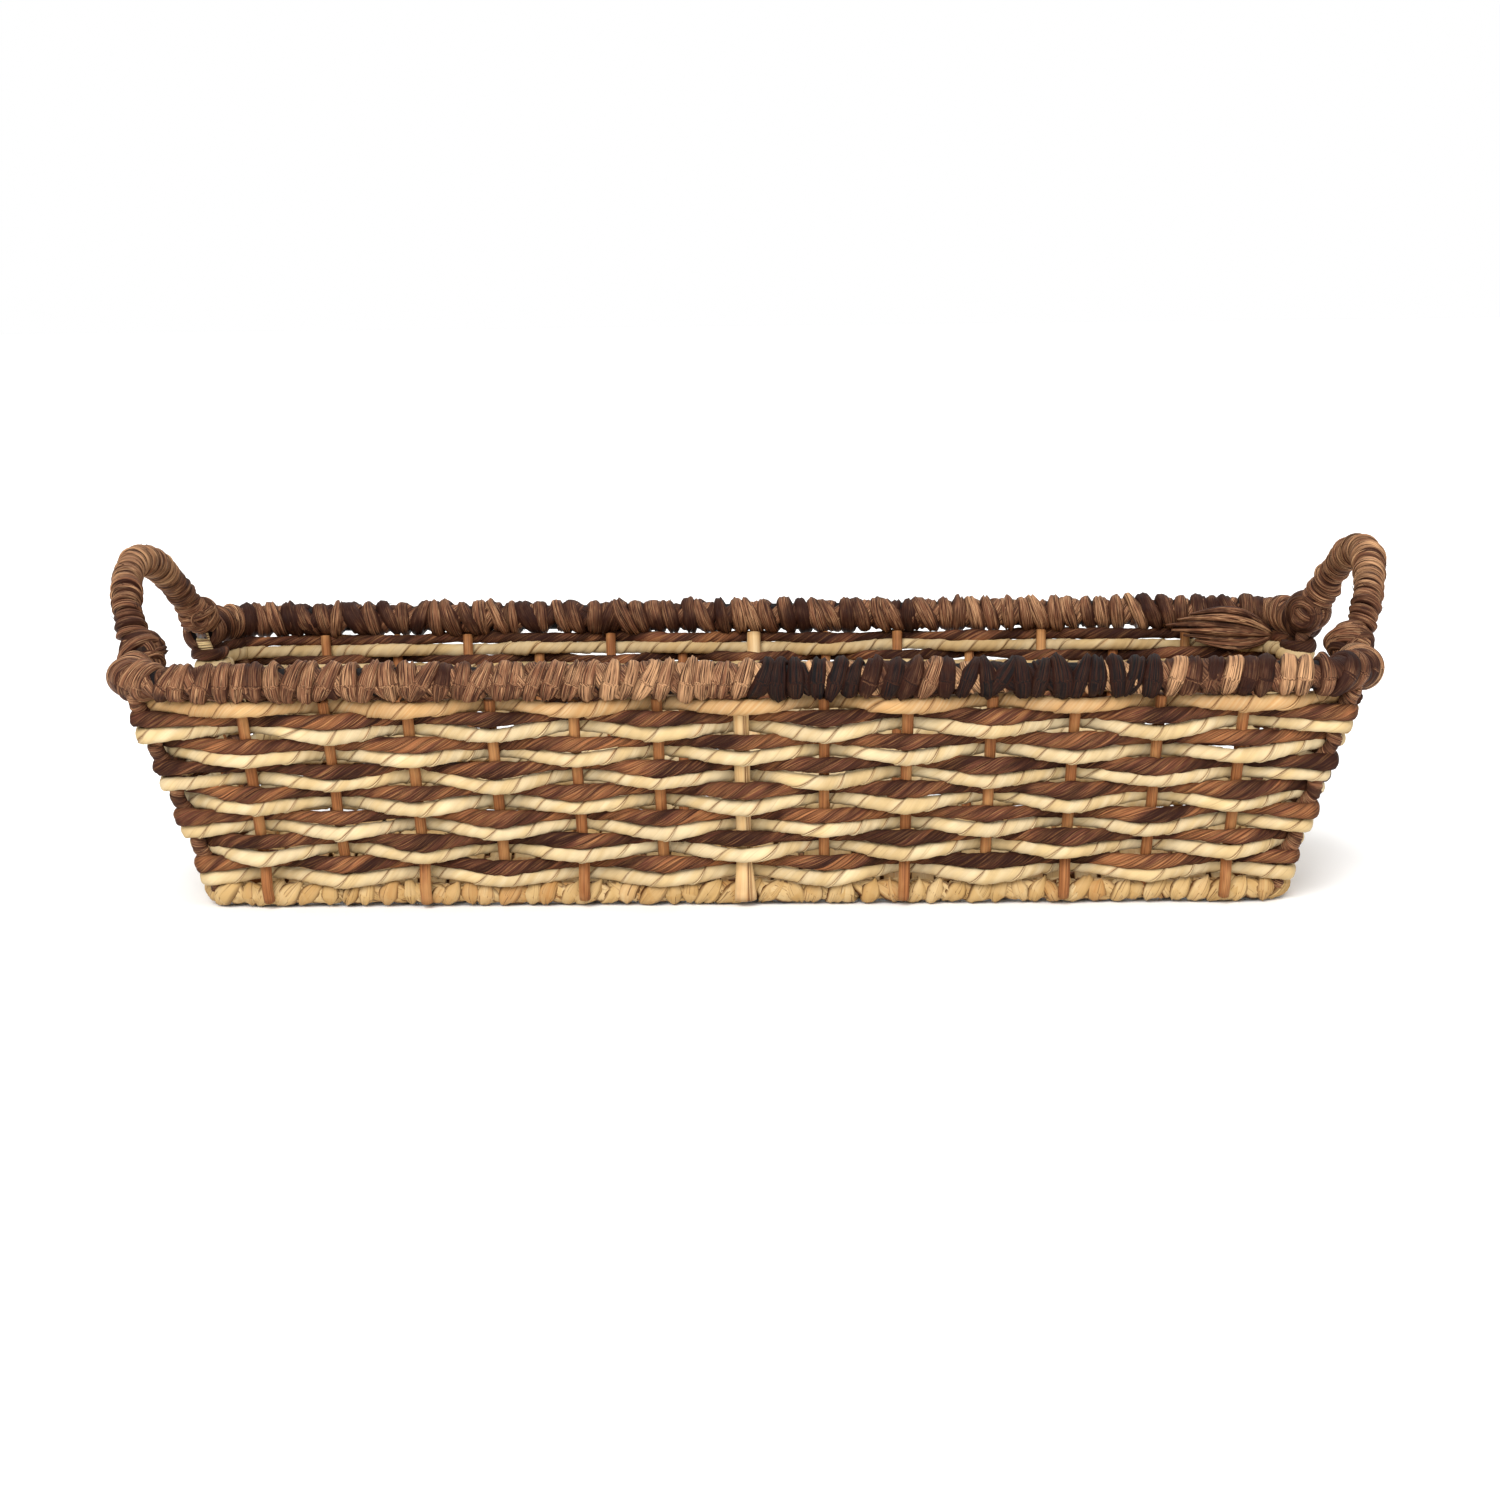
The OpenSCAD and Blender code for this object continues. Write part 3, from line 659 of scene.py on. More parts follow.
def hair(sheaf, rng, start, direction, length, tone):
    """One fine fibre that stands off a wrap, three-sided and tapering."""
    direction = unit(direction)
    bend = unit(np.cross(direction, rng.normal(size=3))) * rng.uniform(-0.6, 0.6)
    t = np.linspace(0, 1, 6)[:, None]
    path = start + length * (direction * t + bend * t * t * 0.7)
    thick, taper = 0.16 * MM, 0.7
    radius = thick * (1 - taper * t[:, 0])
    reference = np.array([0.31, 0.42, 0.85])  # no fibre runs along it
    plain_rod(sheaf, path, radius, 3, tone, reference, 0.8)


def add_hairs(sheaf, rng, path, radius, count, tone_at, longest=7 * MM):
    """Fine fibres that stand off a wrap, mostly round about it."""
    rope = Rope(path)
    directions = (path, rope.forward, rope.side, rope.up)
    for _ in range(count):
        s = rng.uniform(0, rope.length)
        middle, ahead, sideways, upward = (place_on(rope.s, v, np.array([s]))[0] for v in directions)
        angle = rng.uniform(0, TAU)
        normal = np.cos(angle) * sideways + np.sin(angle) * upward
        round_about = np.cos(angle) * upward - np.sin(angle) * sideways
        direction = 0.5 * normal + rng.normal() * ahead + 1.2 * rng.choice([-1, 1]) * round_about
        start = middle + normal * radius * 0.96
        tone = tone_at(rng, middle, 1)
        tone[0] = min(1.0, tone[0] + rng.uniform(0.1, 0.5))
        hair(sheaf, rng, start, direction, rng.uniform(0.3, 1) * longest, tone)


# ---------------------------------------------------------------- finishes

LEAF_SPECULAR = 0.08  # leaf and cane hardly shine


class Paint:
    """Adds nodes to one node tree and joins them."""

    def __init__(self, tree):
        self.tree = tree

    def put(self, socket, value):
        if isinstance(value, bpy.types.NodeSocket):
            self.tree.links.new(value, socket)
        else:
            socket.default_value = value

    def add(self, kind, inputs=(), **settings):
        node = self.tree.nodes.new(kind)
        for key, value in settings.items():
            setattr(node, key, value)
        for key, value in dict(inputs).items():
            self.put(node.inputs[key], value)
        return node

    def math(self, operation, a, b):
        return self.add("ShaderNodeMath", {0: a, 1: b}, operation=operation).outputs[0]

    def times(self, a, b):
        return self.math("MULTIPLY", a, b)

    def plus(self, a, b):
        return self.math("ADD", a, b)

    def less(self, a, b):
        return self.math("SUBTRACT", a, b)

    def mix(self, share, a, b, blend="MIX"):
        node = self.add("ShaderNodeMix", {0: share, 6: a, 7: b}, data_type="RGBA", blend_type=blend)
        return node.outputs[2]

    def range(self, value, low, high, to_low=0.0, to_high=1.0):
        return self.add("ShaderNodeMapRange", {0: value, 1: low, 2: high, 3: to_low, 4: to_high},
                        interpolation_type="SMOOTHSTEP").outputs[0]

    def noise(self, x, y, z, detail=2.0, roughness=0.55):
        place = self.add("ShaderNodeCombineXYZ", {0: x, 1: y, 2: z}).outputs[0]
        return self.add("ShaderNodeTexNoise", {"Vector": place, "Scale": 1.0, "Detail": detail,
                                               "Roughness": roughness}).outputs[0]


def group(name, inputs, outputs, fill):
    """A shader node group, built once: inputs are names with defaults, outputs are names."""
    tree = bpy.data.node_groups.get(name)
    if tree is None:
        tree = bpy.data.node_groups.new(name, "ShaderNodeTree")
        for title, value in inputs.items():
            socket = tree.interface.new_socket(name=title, in_out="INPUT", socket_type="NodeSocketFloat")
            socket.default_value = value
        for title in outputs:
            tree.interface.new_socket(name=title, in_out="OUTPUT", socket_type="NodeSocketFloat")
        paint = Paint(tree)
        source = paint.add("NodeGroupInput").outputs
        results = fill(paint, source)
        end = paint.add("NodeGroupOutput")
        for title in outputs:
            paint.put(end.inputs[title], results[title])
    return tree


def leaf_grain():
    """Fibre streaks along a strip of leaf, broad patches, and what the strip itself says."""
    def fill(paint, source):
        leaf = paint.add("ShaderNodeAttribute", attribute_name="leaf").outputs["Vector"]
        tone = paint.add("ShaderNodeAttribute", attribute_name="tone").outputs["Vector"]
        s, across, share = paint.add("ShaderNodeSeparateXYZ", {0: leaf}).outputs
        own, seed, shade_and_dirt = paint.add("ShaderNodeSeparateXYZ", {0: tone}).outputs
        along = paint.math("DIVIDE", s, source["Streak Length"])
        over = paint.math("DIVIDE", across, source["Streak Width"])
        streak = paint.noise(along, over, seed, 2.0, 0.6)
        fine = paint.noise(paint.times(along, 3.0), paint.times(over, 2.6), paint.plus(seed, 4.0), 1.0)
        patch_width = 9 * MM
        patch = paint.noise(paint.math("DIVIDE", s, source["Patch Length"]),
                            paint.math("DIVIDE", across, patch_width), paint.plus(seed, 9.0), 3.0)
        return {"Streak": streak, "Fine": fine, "Patch": patch, "Tone": own, "Share": share, "Stain": shade_and_dirt}
    return group("Leaf Grain", {"Streak Length": 0.04, "Streak Width": 0.0005, "Patch Length": 0.03},
                 ("Streak", "Fine", "Patch", "Tone", "Share", "Stain"), fill)


def fold_shade():
    """Masks of the hollows, where the finishes paint shade, and of the crests of a surface."""
    def fill(paint, source):
        point = paint.add("ShaderNodeNewGeometry").outputs["Pointiness"]
        hollow_shade = paint.range(point, source["Deep"], source["Level"], 1.0, 0.0)
        crest = paint.range(point, source["Level"], source["Sharp"])
        return {"Hollow": hollow_shade, "Crest": crest}
    return group("Fold Shade", {"Deep": 0.40, "Level": 0.497, "Sharp": 0.58}, ("Hollow", "Crest"), fill)


def strip_edge():
    """Masks of the very edge of a strip of leaf and of the wider band beside it."""
    def fill(paint, source):
        low = paint.range(source["Share"], 0.0, source["Edge Width"], 1.0, 0.0)
        high = paint.range(source["Share"], paint.less(1.0, source["Edge Width"]), 1.0)
        beside = paint.range(source["Share"], 0.0, source["Band Width"], 1.0, 0.0)
        return {"Edge": paint.math("MAXIMUM", low, paint.times(high, 0.6)), "Beside": beside}
    return group("Strip Edge", {"Share": 0.5, "Edge Width": 0.06, "Band Width": 0.3},
                 ("Edge", "Beside"), fill)


def place_group(paint, tree, **values):
    node = paint.add("ShaderNodeGroup", node_tree=tree)
    for title, value in values.items():
        paint.put(node.inputs[title.replace("_", " ")], value)
    return node.outputs


def finish(name, fill):
    """A material, built once; fill gives the sockets of its Principled shader."""
    material = bpy.data.materials.get(name)
    if material is None:
        material = bpy.data.materials.new(name)
        material.use_nodes = True
        tree = material.node_tree
        paint = Paint(tree)
        shader = next(node for node in tree.nodes if node.type == "BSDF_PRINCIPLED")
        for title, value in fill(paint, Colour()).items():
            paint.put(shader.inputs[title], value)
    return material


class Colour:
    """The basket's colours, with an alpha of one."""

    def __getattr__(self, title):
        return (*getattr(bpy.context.scene.basket_colours, title), 1.0)


def bump(paint, height, distance, strength):
    node = paint.add("ShaderNodeBump", {"Strength": strength, "Distance": distance, "Height": height})
    return node.outputs[0]


def streaky_bump(paint, grain, fine, distance, strength):
    """The fibres of the leaf standing up; fine is how much the fine ones add to the broad ones."""
    return bump(paint, paint.plus(grain["Streak"], paint.times(grain["Fine"], fine)), distance, strength)


def pale_finish(name, edge_width, hollow_shade, stripe):
    """Pale leaf: edge_width is a share of the strip; hollow is how dark the painted shade in the folds is,
    and stripe how dark the fibre stripes are.
    """
    def fill(paint, colour):
        grain = place_group(paint, leaf_grain(), Streak_Length=0.05, Streak_Width=0.0011, Patch_Length=0.028)
        edge = place_group(paint, strip_edge(), Share=grain["Share"], Edge_Width=edge_width, Band_Width=0.16)
        fold = place_group(paint, fold_shade(), Deep=0.455, Level=0.497, Sharp=0.57)
        body = paint.mix(paint.range(grain["Patch"], 0.36, 0.64), colour.cream, colour.cream_light)
        uneven = paint.times(paint.less(grain["Streak"], 0.5), 0.9)
        tan = paint.plus(grain["Tone"], uneven)
        body = paint.mix(paint.range(tan, 0.0, 1.15), body, colour.cream_tan)
        beside = paint.times(edge["Beside"], paint.range(grain["Patch"], 0.52, 0.64))
        body = paint.mix(paint.times(beside, 0.75), body, colour.cream_tan)
        fade = paint.range(grain["Fine"], 0.3, 0.6, 0.8, 1.0)
        body = paint.mix(paint.times(edge["Edge"], fade), body, colour.seam)
        body = paint.mix(paint.range(grain["Fine"], 0.58, 0.74, 0.0, stripe), body, colour.seam)
        # Painted shade: the hollows are darkened towards the seam colour.
        body = paint.mix(paint.times(fold["Hollow"], hollow_shade), body, colour.seam)
        # Painted shade, with some dirt: the rear rows, the base strands and the border are multiplied darker
        # by the third value of their tone.
        shadow_stain = (0.60, 0.50, 0.38, 1)
        body = paint.mix(grain["Stain"], body, shadow_stain, "MULTIPLY")
        rough = paint.range(grain["Streak"], 0.2, 0.8, 0.45, 0.66)
        return {"Base Color": body, "Roughness": rough, "Specular IOR Level": LEAF_SPECULAR,
                "Normal": streaky_bump(paint, grain, 0.5, 0.22 * MM, 0.5)}
    return finish(name, fill)


def light_leaf():
    return pale_finish("Pale Rolled Leaf", 0.07, 0.35, 0.24)


def border_leaf():
    # The border's hollows get strong painted shade.
    return pale_finish("Pale Border Leaf", 0.16, 0.95, 0.75)


def dark_leaf():
    """Dark leaf twisted into strands: plum and brown, coppery patches, pale fibres."""
    def fill(paint, colour):
        grain = place_group(paint, leaf_grain(), Streak_Length=0.03, Streak_Width=0.00042, Patch_Length=0.035)
        fold = place_group(paint, fold_shade(), Deep=0.44, Level=0.497, Sharp=0.58)
        own = paint.times(paint.less(grain["Tone"], 0.5), 0.16)
        level = paint.plus(grain["Patch"], own)
        body = paint.mix(paint.range(level, 0.38, 0.53), colour.plum, colour.brown)
        body = paint.mix(paint.range(level, 0.50, 0.66), body, colour.copper)
        body = paint.mix(paint.range(grain["Streak"], 0.38, 0.60, 0.80, 0.0), body, colour.plum)
        strength = paint.range(level, 0.38, 0.6, 0.3, 0.9)
        line = paint.times(paint.range(grain["Fine"], 0.54, 0.68), strength)
        body = paint.mix(paint.times(line, 0.75), body, colour.fibre)
        # Painted shade: the hollows are darkened towards plum.
        body = paint.mix(paint.times(fold["Hollow"], 0.7), body, colour.plum)
        rough = paint.range(grain["Fine"], 0.2, 0.8, 0.50, 0.74)
        return {"Base Color": body, "Roughness": rough, "Specular IOR Level": LEAF_SPECULAR,
                "Normal": streaky_bump(paint, grain, 0.7, 0.4 * MM, 0.8)}
    return finish("Dark Twisted Leaf", fill)


def rim_leaf():
    """Dark leaf of the wraps: a strip's tone runs from blue-black to tan and cream."""
    def fill(paint, colour):
        grain = place_group(paint, leaf_grain(), Streak_Length=0.016, Streak_Width=0.00045,
                            Patch_Length=0.012)
        edge = place_group(paint, strip_edge(), Share=grain["Share"], Edge_Width=0.24, Band_Width=0.3)
        fold = place_group(paint, fold_shade(), Deep=0.465, Level=0.4985, Sharp=0.56)
        wander = paint.times(paint.less(grain["Patch"], 0.5), 0.8)
        level = paint.plus(grain["Tone"], wander)
        body = paint.mix(paint.range(level, 0.10, 0.30), colour.wrap_black, colour.plum)
        body = paint.mix(paint.range(level, 0.26, 0.56), body, colour.wrap_brown)
        body = paint.mix(paint.range(level, 0.56, 1.05), body, colour.wrap_tan)
        body = paint.mix(paint.range(grain["Tone"], 1.12, 1.3), body, colour.cream)
        body = paint.mix(paint.range(grain["Streak"], 0.40, 0.58, 0.92, 0.0), body, colour.plum)
        strength = paint.range(level, 0.25, 0.75, 0.04, 0.9)
        line = paint.times(paint.range(grain["Fine"], 0.54, 0.66), strength)
        body = paint.mix(line, body, colour.wrap_tan)
        # Dark leaf edges, and painted shade in the gaps between the strips.
        body = paint.mix(paint.times(edge["Edge"], 0.9), body, colour.plum)
        # Painted shade: the hollows are darkened towards blue-black.
        body = paint.mix(paint.times(fold["Hollow"], 0.9), body, colour.wrap_black)
        rough = paint.range(grain["Fine"], 0.2, 0.8, 0.45, 0.72)
        return {"Base Color": body, "Roughness": rough, "Specular IOR Level": LEAF_SPECULAR,
                "Normal": streaky_bump(paint, grain, 0.7, 0.4 * MM, 0.8)}
    return finish("Rim Wrap Leaf", fill)


def cane():
    """Rattan: brown, with a fine long grain."""
    def fill(paint, colour):
        grain = place_group(paint, leaf_grain(), Streak_Length=0.05, Streak_Width=0.00035, Patch_Length=0.02)
        body = paint.mix(paint.range(grain["Streak"], 0.36, 0.66), colour.cane_dark, colour.cane)
        body = paint.mix(paint.range(grain["Patch"], 0.45, 0.75, 0.0, 0.5), body, colour.cream_tan)
        body = paint.mix(paint.range(grain["Fine"], 0.60, 0.78, 0.0, 0.6), body, colour.fibre)
        rough = paint.range(grain["Streak"], 0.2, 0.8, 0.45, 0.62)
        return {"Base Color": body, "Roughness": rough, "Normal": bump(paint, grain["Streak"], 0.0003, 0.6),
                "Specular IOR Level": LEAF_SPECULAR}
    return finish("Rattan Cane", fill)


def bent_wire():
    """Steel wire with brown spots, inside the wraps."""
    def fill(paint, colour):
        place = paint.add("ShaderNodeTexCoord").outputs["Object"]
        spots = paint.add("ShaderNodeTexNoise", {"Vector": place, "Scale": 420.0, "Detail": 3.0}).outputs[0]
        body = paint.mix(paint.range(spots, 0.4, 0.7), colour.wire, colour.wrap_brown)
        return {"Base Color": body, "Roughness": paint.range(spots, 0.3, 0.7, 0.35, 0.7), "Metallic": 0.8,
                "Normal": bump(paint, spots, 0.0001, 0.4)}
    return finish("Bent Wire", fill)


# ---------------------------------------------------------------- pieces

def tones_between(low, high):
    def tone_at(rng, point, layer):
        return leaf_tone(rng, rng.uniform(low, high))
    return tone_at


def front_rim_tone(rng, point, layer):
    """Brown at the left, tan by the middle, blue-black strips right of it, plum-brown at the end."""
    x = point[0] / MM
    brown_from, tan_from, black_from, mixed_from, mixed_to, black_to = -150, -48, 4, 45, 75, 148
    if black_from < x < black_to:
        tan_share = 0.6 if layer == 0 else 0.06
        low, high = (0.80, 1.0) if rng.random() < tan_share else (0.0, 0.10)
        if mixed_from < x < mixed_to:
            low, high = (0.15, 0.42) if rng.random() < 0.6 else (0.6, 0.95)
    elif x >= black_to:
        low, high = (0.6, 0.85) if rng.random() < 0.3 else (0.28, 0.50)
    elif x > tan_from:
        low, high = 0.52, 0.80
    elif x > brown_from:
        low, high = 0.40, 0.70
    else:
        low, high = 0.40, 0.64
    return leaf_tone(rng, rng.uniform(low, high))


def rear_rim_tone(rng, point, layer):
    """Dark brown, with one lighter run towards the right."""
    light_from, light_to = 85, 160
    low, high = (0.46, 0.76) if light_from < point[0] / MM < light_to else (0.30, 0.58)
    return leaf_tone(rng, rng.uniform(low, high))


def border_tone(rng, point, layer):
    """Mostly cream, with a tan strip now and then, and an uneven darkening that paints shade and some dirt.
    """
    tone = leaf_tone(rng, rng.uniform(0.35, 0.7) if rng.random() < 0.2 else rng.uniform(0.0, 0.3))
    # How much the strip is darkened: painted shade, with some dirt.
    tone[2] = rng.uniform(0.75, 1.2)
    return tone


class PieceOperator(Operator):
    """Makes pieces of the basket; each piece or group of like pieces gives its own make"""
    bl_options = {"REGISTER", "UNDO"}

    def execute(self, context):
        self.make(context.scene.basket_sizes)
        return {"FINISHED"}


def upright_path(k, z):
    """The middle line of upright k at heights z."""
    path = WALL.upright(k, z)
    path[:, 2] = z
    return path


def over_border(z, top, drop):
    """0 above top, easing to 1 where an upright stands outside the border, drop further down."""
    return ease_in_out(np.clip((top - z) / drop, 0, 1))


def stake(sheaf, rng, k, radius, low, high, foot, places=18):
    """One upright; foot is how far its lower end stands out over the border."""
    wobble, groove_depth, uneven = 0.22 * MM, 0.028, 0.04
    z = np.append(np.arange(low, high, 2.2 * MM), high)
    out = WALL.out[k % WALL.count]
    path = upright_path(k, z)
    path += out * (foot * over_border(z, 19 * MM, 13 * MM))[:, None]
    path[:, :2] += wobble * np.stack([smooth_noise(rng, len(z), 9) for _ in range(2)], -1)
    grooves = groove_depth * np.stack([np.full(len(z), rng.uniform(-1, 1)) for _ in range(places)], -1)
    size = radius * (1 + uneven * smooth_noise(rng, len(z), 8))
    tone = leaf_tone(rng, rng.uniform(0, 1))
    sweep(sheaf, path, size, round_angles(places), 1 + grooves, np.zeros(len(z)), np.full(places, 0.5),
          tone, False, out)


class BASKET_OT_stakes(PieceOperator):
    """Makes the rattan stakes; every second one ends outside the border"""
    bl_idname = "basket.stakes"
    bl_label = "Rattan Stakes"

    def make(self, sizes):
        for name in ("stakes_front", "stakes_rear", "stakes_left", "stakes_right"):
            rng = np.random.default_rng(len(name) * 7 + ord(name[-1]))
            sheaf = Sheaf()
            top = node_box(name)[1][2]
            for k, kind in enumerate(WALL.kind):
                if kind == name:
                    outside = pair_side(0, k) > 0
                    foot = SIZE.border_r + 0.6 * SIZE.stake_r if outside else 0.0
                    bottom = rng.uniform(1.6, 3.2) * MM if outside else SIZE.border_z
                    stake(sheaf, rng, k, SIZE.stake_r, bottom, top, foot)
            sheaf.build(name.title(), cane(), [name], "rattan")


def post_wrap_flare(sheaf, rng, k, radius, low, high):
    """The smooth pale wrap of a centre post, which opens into a folded skirt at the border."""
    places, wrapped, seam_angle, edge_step = 36, 0.995, 0.9, 0.10
    z = np.append(np.arange(low, high, 1.6 * MM), high)
    out = WALL.out[k % WALL.count]
    path = upright_path(k, z)
    path += out * ((SIZE.border_r + 0.3 * radius) * over_border(z, 20 * MM, 14 * MM))[:, None]
    share = np.linspace(0, 1, places)
    angles = share * wrapped * TAU + seam_angle
    rise = 1 + edge_step * (share - 0.5)
    flare = np.clip((16 * MM - z) / (12 * MM), 0, 1) ** 1.1
    wide = 1 + 0.95 * flare[:, None] * (0.8 + 0.2 * np.cos(3 * angles[None, :]))
    size = radius * (1 + 0.03 * smooth_noise(rng, len(z), 9)) * (1 - 0.22 * flare)
    twist = 0.25 * smooth_noise(rng, len(z), 16)
    sweep(sheaf, path, size, angles, np.tile(rise, (len(z), 1)), twist, share, leaf_tone(rng, 0.62),
          False, out, wide)


def post_push(k, z, rear):
    """How far the rows push post k out and in at heights z; the rear rows lie closer together."""
    pushed_in, pushed_out, rear_pairs = 0.9 * MM, 1.6 * MM, 2.5
    pair = (SIZE.weave_high - z) / (2 * SIZE.row_pitch)
    if rear:
        closer = (SIZE.weave_high - z) / (2 * SIZE.rear_pitch) - 0.5
        pair = np.where(closer < rear_pairs, closer, pair)
    wave = np.cos(np.pi * (pair + k - WALL.front_centre))
    return -wave * np.where(wave > 0, pushed_in, pushed_out)


def coiled_post(sheaf, rng, k, top, coil_pitch):
    """A corner post or a handle leg, with its strip wound round it from the border up."""
    low_tone, high_tone, cream_tone, cream_from, seed = 0.4, 0.62, 1.4, 58 * MM, 5.0
    leg = k in WALL.legs
    path = upright_path(k, np.linspace(SIZE.border_z, top + 2 * MM, 60))
    out = WALL.out[k]
    if not leg:
        path += out * post_push(k, path[:, 2], path[0, 1] > 0)[:, None]
    cream = leg and path[-1, 0] < 0 < path[-1, 1]

    def tone_at(rng, point, layer):
        high_up = cream and point[2] > cream_from
        return np.array([cream_tone if high_up else rng.uniform(low_tone, high_tone), seed, 0.0])

    rope_core(sheaf, path, SIZE.post_r - 0.9 * MM, [0.3, 1, 0], out)
    coil(sheaf, rng, path, SIZE.post_r - 1.1 * MM, coil_pitch, 1.3 * coil_pitch, 1.15 * MM, tone_at,
         out, 0.03)


class BASKET_OT_posts(PieceOperator):
    """Makes the wrapped posts: two smooth pale ones, four at the corners and the four handle legs"""
    bl_idname = "basket.posts"
    bl_label = "Wrapped Posts"

    def make(self, sizes):
        rng = np.random.default_rng(41)
        sheaf = Sheaf()
        top = node_box("centre_post_wraps")[1][2]
        for k in WALL.centres:
            post_wrap_flare(sheaf, rng, k, SIZE.post_r, 2.4 * MM, top)
        sheaf.build("Centre_Post_Wraps", light_leaf(), ["centre_post_wraps"], "light_leaf")
        for name in ("corner_post_wraps", "handle_leg_wraps"):
            sheaf = Sheaf()
            top = node_box(name)[1][2]
            for k, kind in enumerate(WALL.kind):
                if kind == name:
                    coiled_post(sheaf, rng, k, top, sizes.coil_pitch)
            sheaf.build(name.title(), rim_leaf(), [name], "rim_leaf")


def split_along(points, axis, gap):
    """Points in groups that lie apart along one axis."""
    order = np.argsort(points[:, axis])
    ordered = points[order]
    breaks = np.where(np.diff(ordered[:, axis]) > gap)[0] + 1
    return np.split(ordered, breaks)


def base_stick(sheaf, rng, low, high):
    """One long stick of the base; gives where it lies across the basket."""
    wobble = 0.2 * MM
    centre, radius = (low + high) / 2, (high[2] - low[2]) / 2
    x = np.arange(low[0], high[0], 4 * MM)
    path = np.column_stack([x, np.full(len(x), centre[1]), np.full(len(x), centre[2])])
    path[:, 1:] += wobble * np.stack([smooth_noise(rng, len(x), 12) for _ in range(2)], -1)
    plain_rod(sheaf, path, np.full(len(x), radius), 14, leaf_tone(rng, rng.uniform(0, 1)))
    return centre[1]


def base_strand(sheaf, rng, low, high, sign, stick_y, stick_pitch):
    """One flat strand of the base, over the stick at stick_y where sign is 1 and under it where -1."""
    width, height, wobble, half_height = 8.6 * MM, 1.5 * MM, 0.3 * MM, 1.1 * MM
    y = np.linspace(low[1], high[1], 90)
    swing = (high[2] - low[2]) / 2 - half_height
    z = (high[2] + low[2]) / 2 + sign * swing * np.cos(np.pi * (y - stick_y) / stick_pitch)
    x = (low[0] + high[0]) / 2 + wobble * smooth_noise(rng, len(y), 20)
    line = np.column_stack([x, y, z])
    band(sheaf, rng, line, np.tile(UP, (len(y), 1)), np.full(len(y), width), np.full(len(y), height),
         border_tone(rng, line[0], 1), loop=False)


class BASKET_OT_base_panel(PieceOperator):
    """Makes the woven base: long sticks with flat strands over and under them"""
    bl_idname = "basket.base_panel"
    bl_label = "Base Panel"

    def make(self, sizes):
        rng = np.random.default_rng(77)
        sheaf = Sheaf()
        sticks = split_along(node_points("base_sticks"), 1, 3 * MM)
        stick_ys = [base_stick(sheaf, rng, stick.min(0), stick.max(0)) for stick in sticks]
        sheaf.build("Base_Sticks", cane(), ["base_sticks"], "rattan")
        pitch = stick_ys[1] - stick_ys[0]
        for name, sign in (("base_strands_over", 1), ("base_strands_under", -1)):
            sheaf = Sheaf()
            for strand in split_along(node_points(name), 0, 2 * MM):
                base_strand(sheaf, rng, strand.min(0), strand.max(0), sign, stick_ys[3], pitch)
            sheaf.build(name.title(), light_leaf(), [name], "light_leaf")


class BASKET_OT_strands(PieceOperator):
    """Weaves the rows of the wall: pale rolled and dark twisted strands in pairs"""
    bl_idname = "basket.strands"
    bl_label = "Woven Strands"

    PALE_TONE, FIRST_TONE, REAR_DARK_TONE = 0.06, 0.75, 0.15
    DARK_TONES = (0.35, 0.55, 0.75)  # taken in turn from row to row
    PALE_SWELL, DARK_SWELL = 0.05, 0.27
    # The pale rear rows are darkened: painted shade for the inside of the rear wall.
    REAR_STAIN = 0.45

    def make(self, sizes):
        left_front, right_front, right_rear, left_rear = sorted(WALL.legs)
        for name in sorted(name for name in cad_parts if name.startswith("strand_")):
            row = int(name.split("_")[1])
            rear = name.endswith("_rear")
            pale = row % 2 == (0 if rear else 1)
            pair = (row - 1) // 2 if rear else row // 2
            radius = (sizes.light_size if pale else sizes.dark_size) / 2
            swell = self.PALE_SWELL if pale else self.DARK_SWELL
            rises = (-sizes.dip, sizes.dip) if pale else (-0.15 * MM, 0.7 * MM)
            tone = self.PALE_TONE if pale else self.DARK_TONES[row // 2 % 3]
            first, last, loop, shade_and_dirt = 0, WALL.count, True, 0.0
            if rear:
                first, last, loop, shade_and_dirt = right_rear, left_rear, False, self.REAR_STAIN
                radius, swell = 0.92 * radius, 0.9 * swell
                # The dark rear rows take a plum-heavy tone: painted shade for the inside of the rear wall.
                tone = tone if pale else self.REAR_DARK_TONE
                rises = (-0.2 * MM, 0.5 * sizes.dip) if pale else (0.5 * MM, 0.1 * MM)
            elif name.endswith("_front"):
                first, last, loop = left_front, right_front, False
            if row == 1 and not rear:
                radius, tone = sizes.first_size / 2, self.FIRST_TONE
                rises = (-0.6 * sizes.dip, 0.3 * sizes.dip)
            weave_row(name, not pale, pair, first, last, loop, radius, rises, tone, swell, shade_and_dirt)


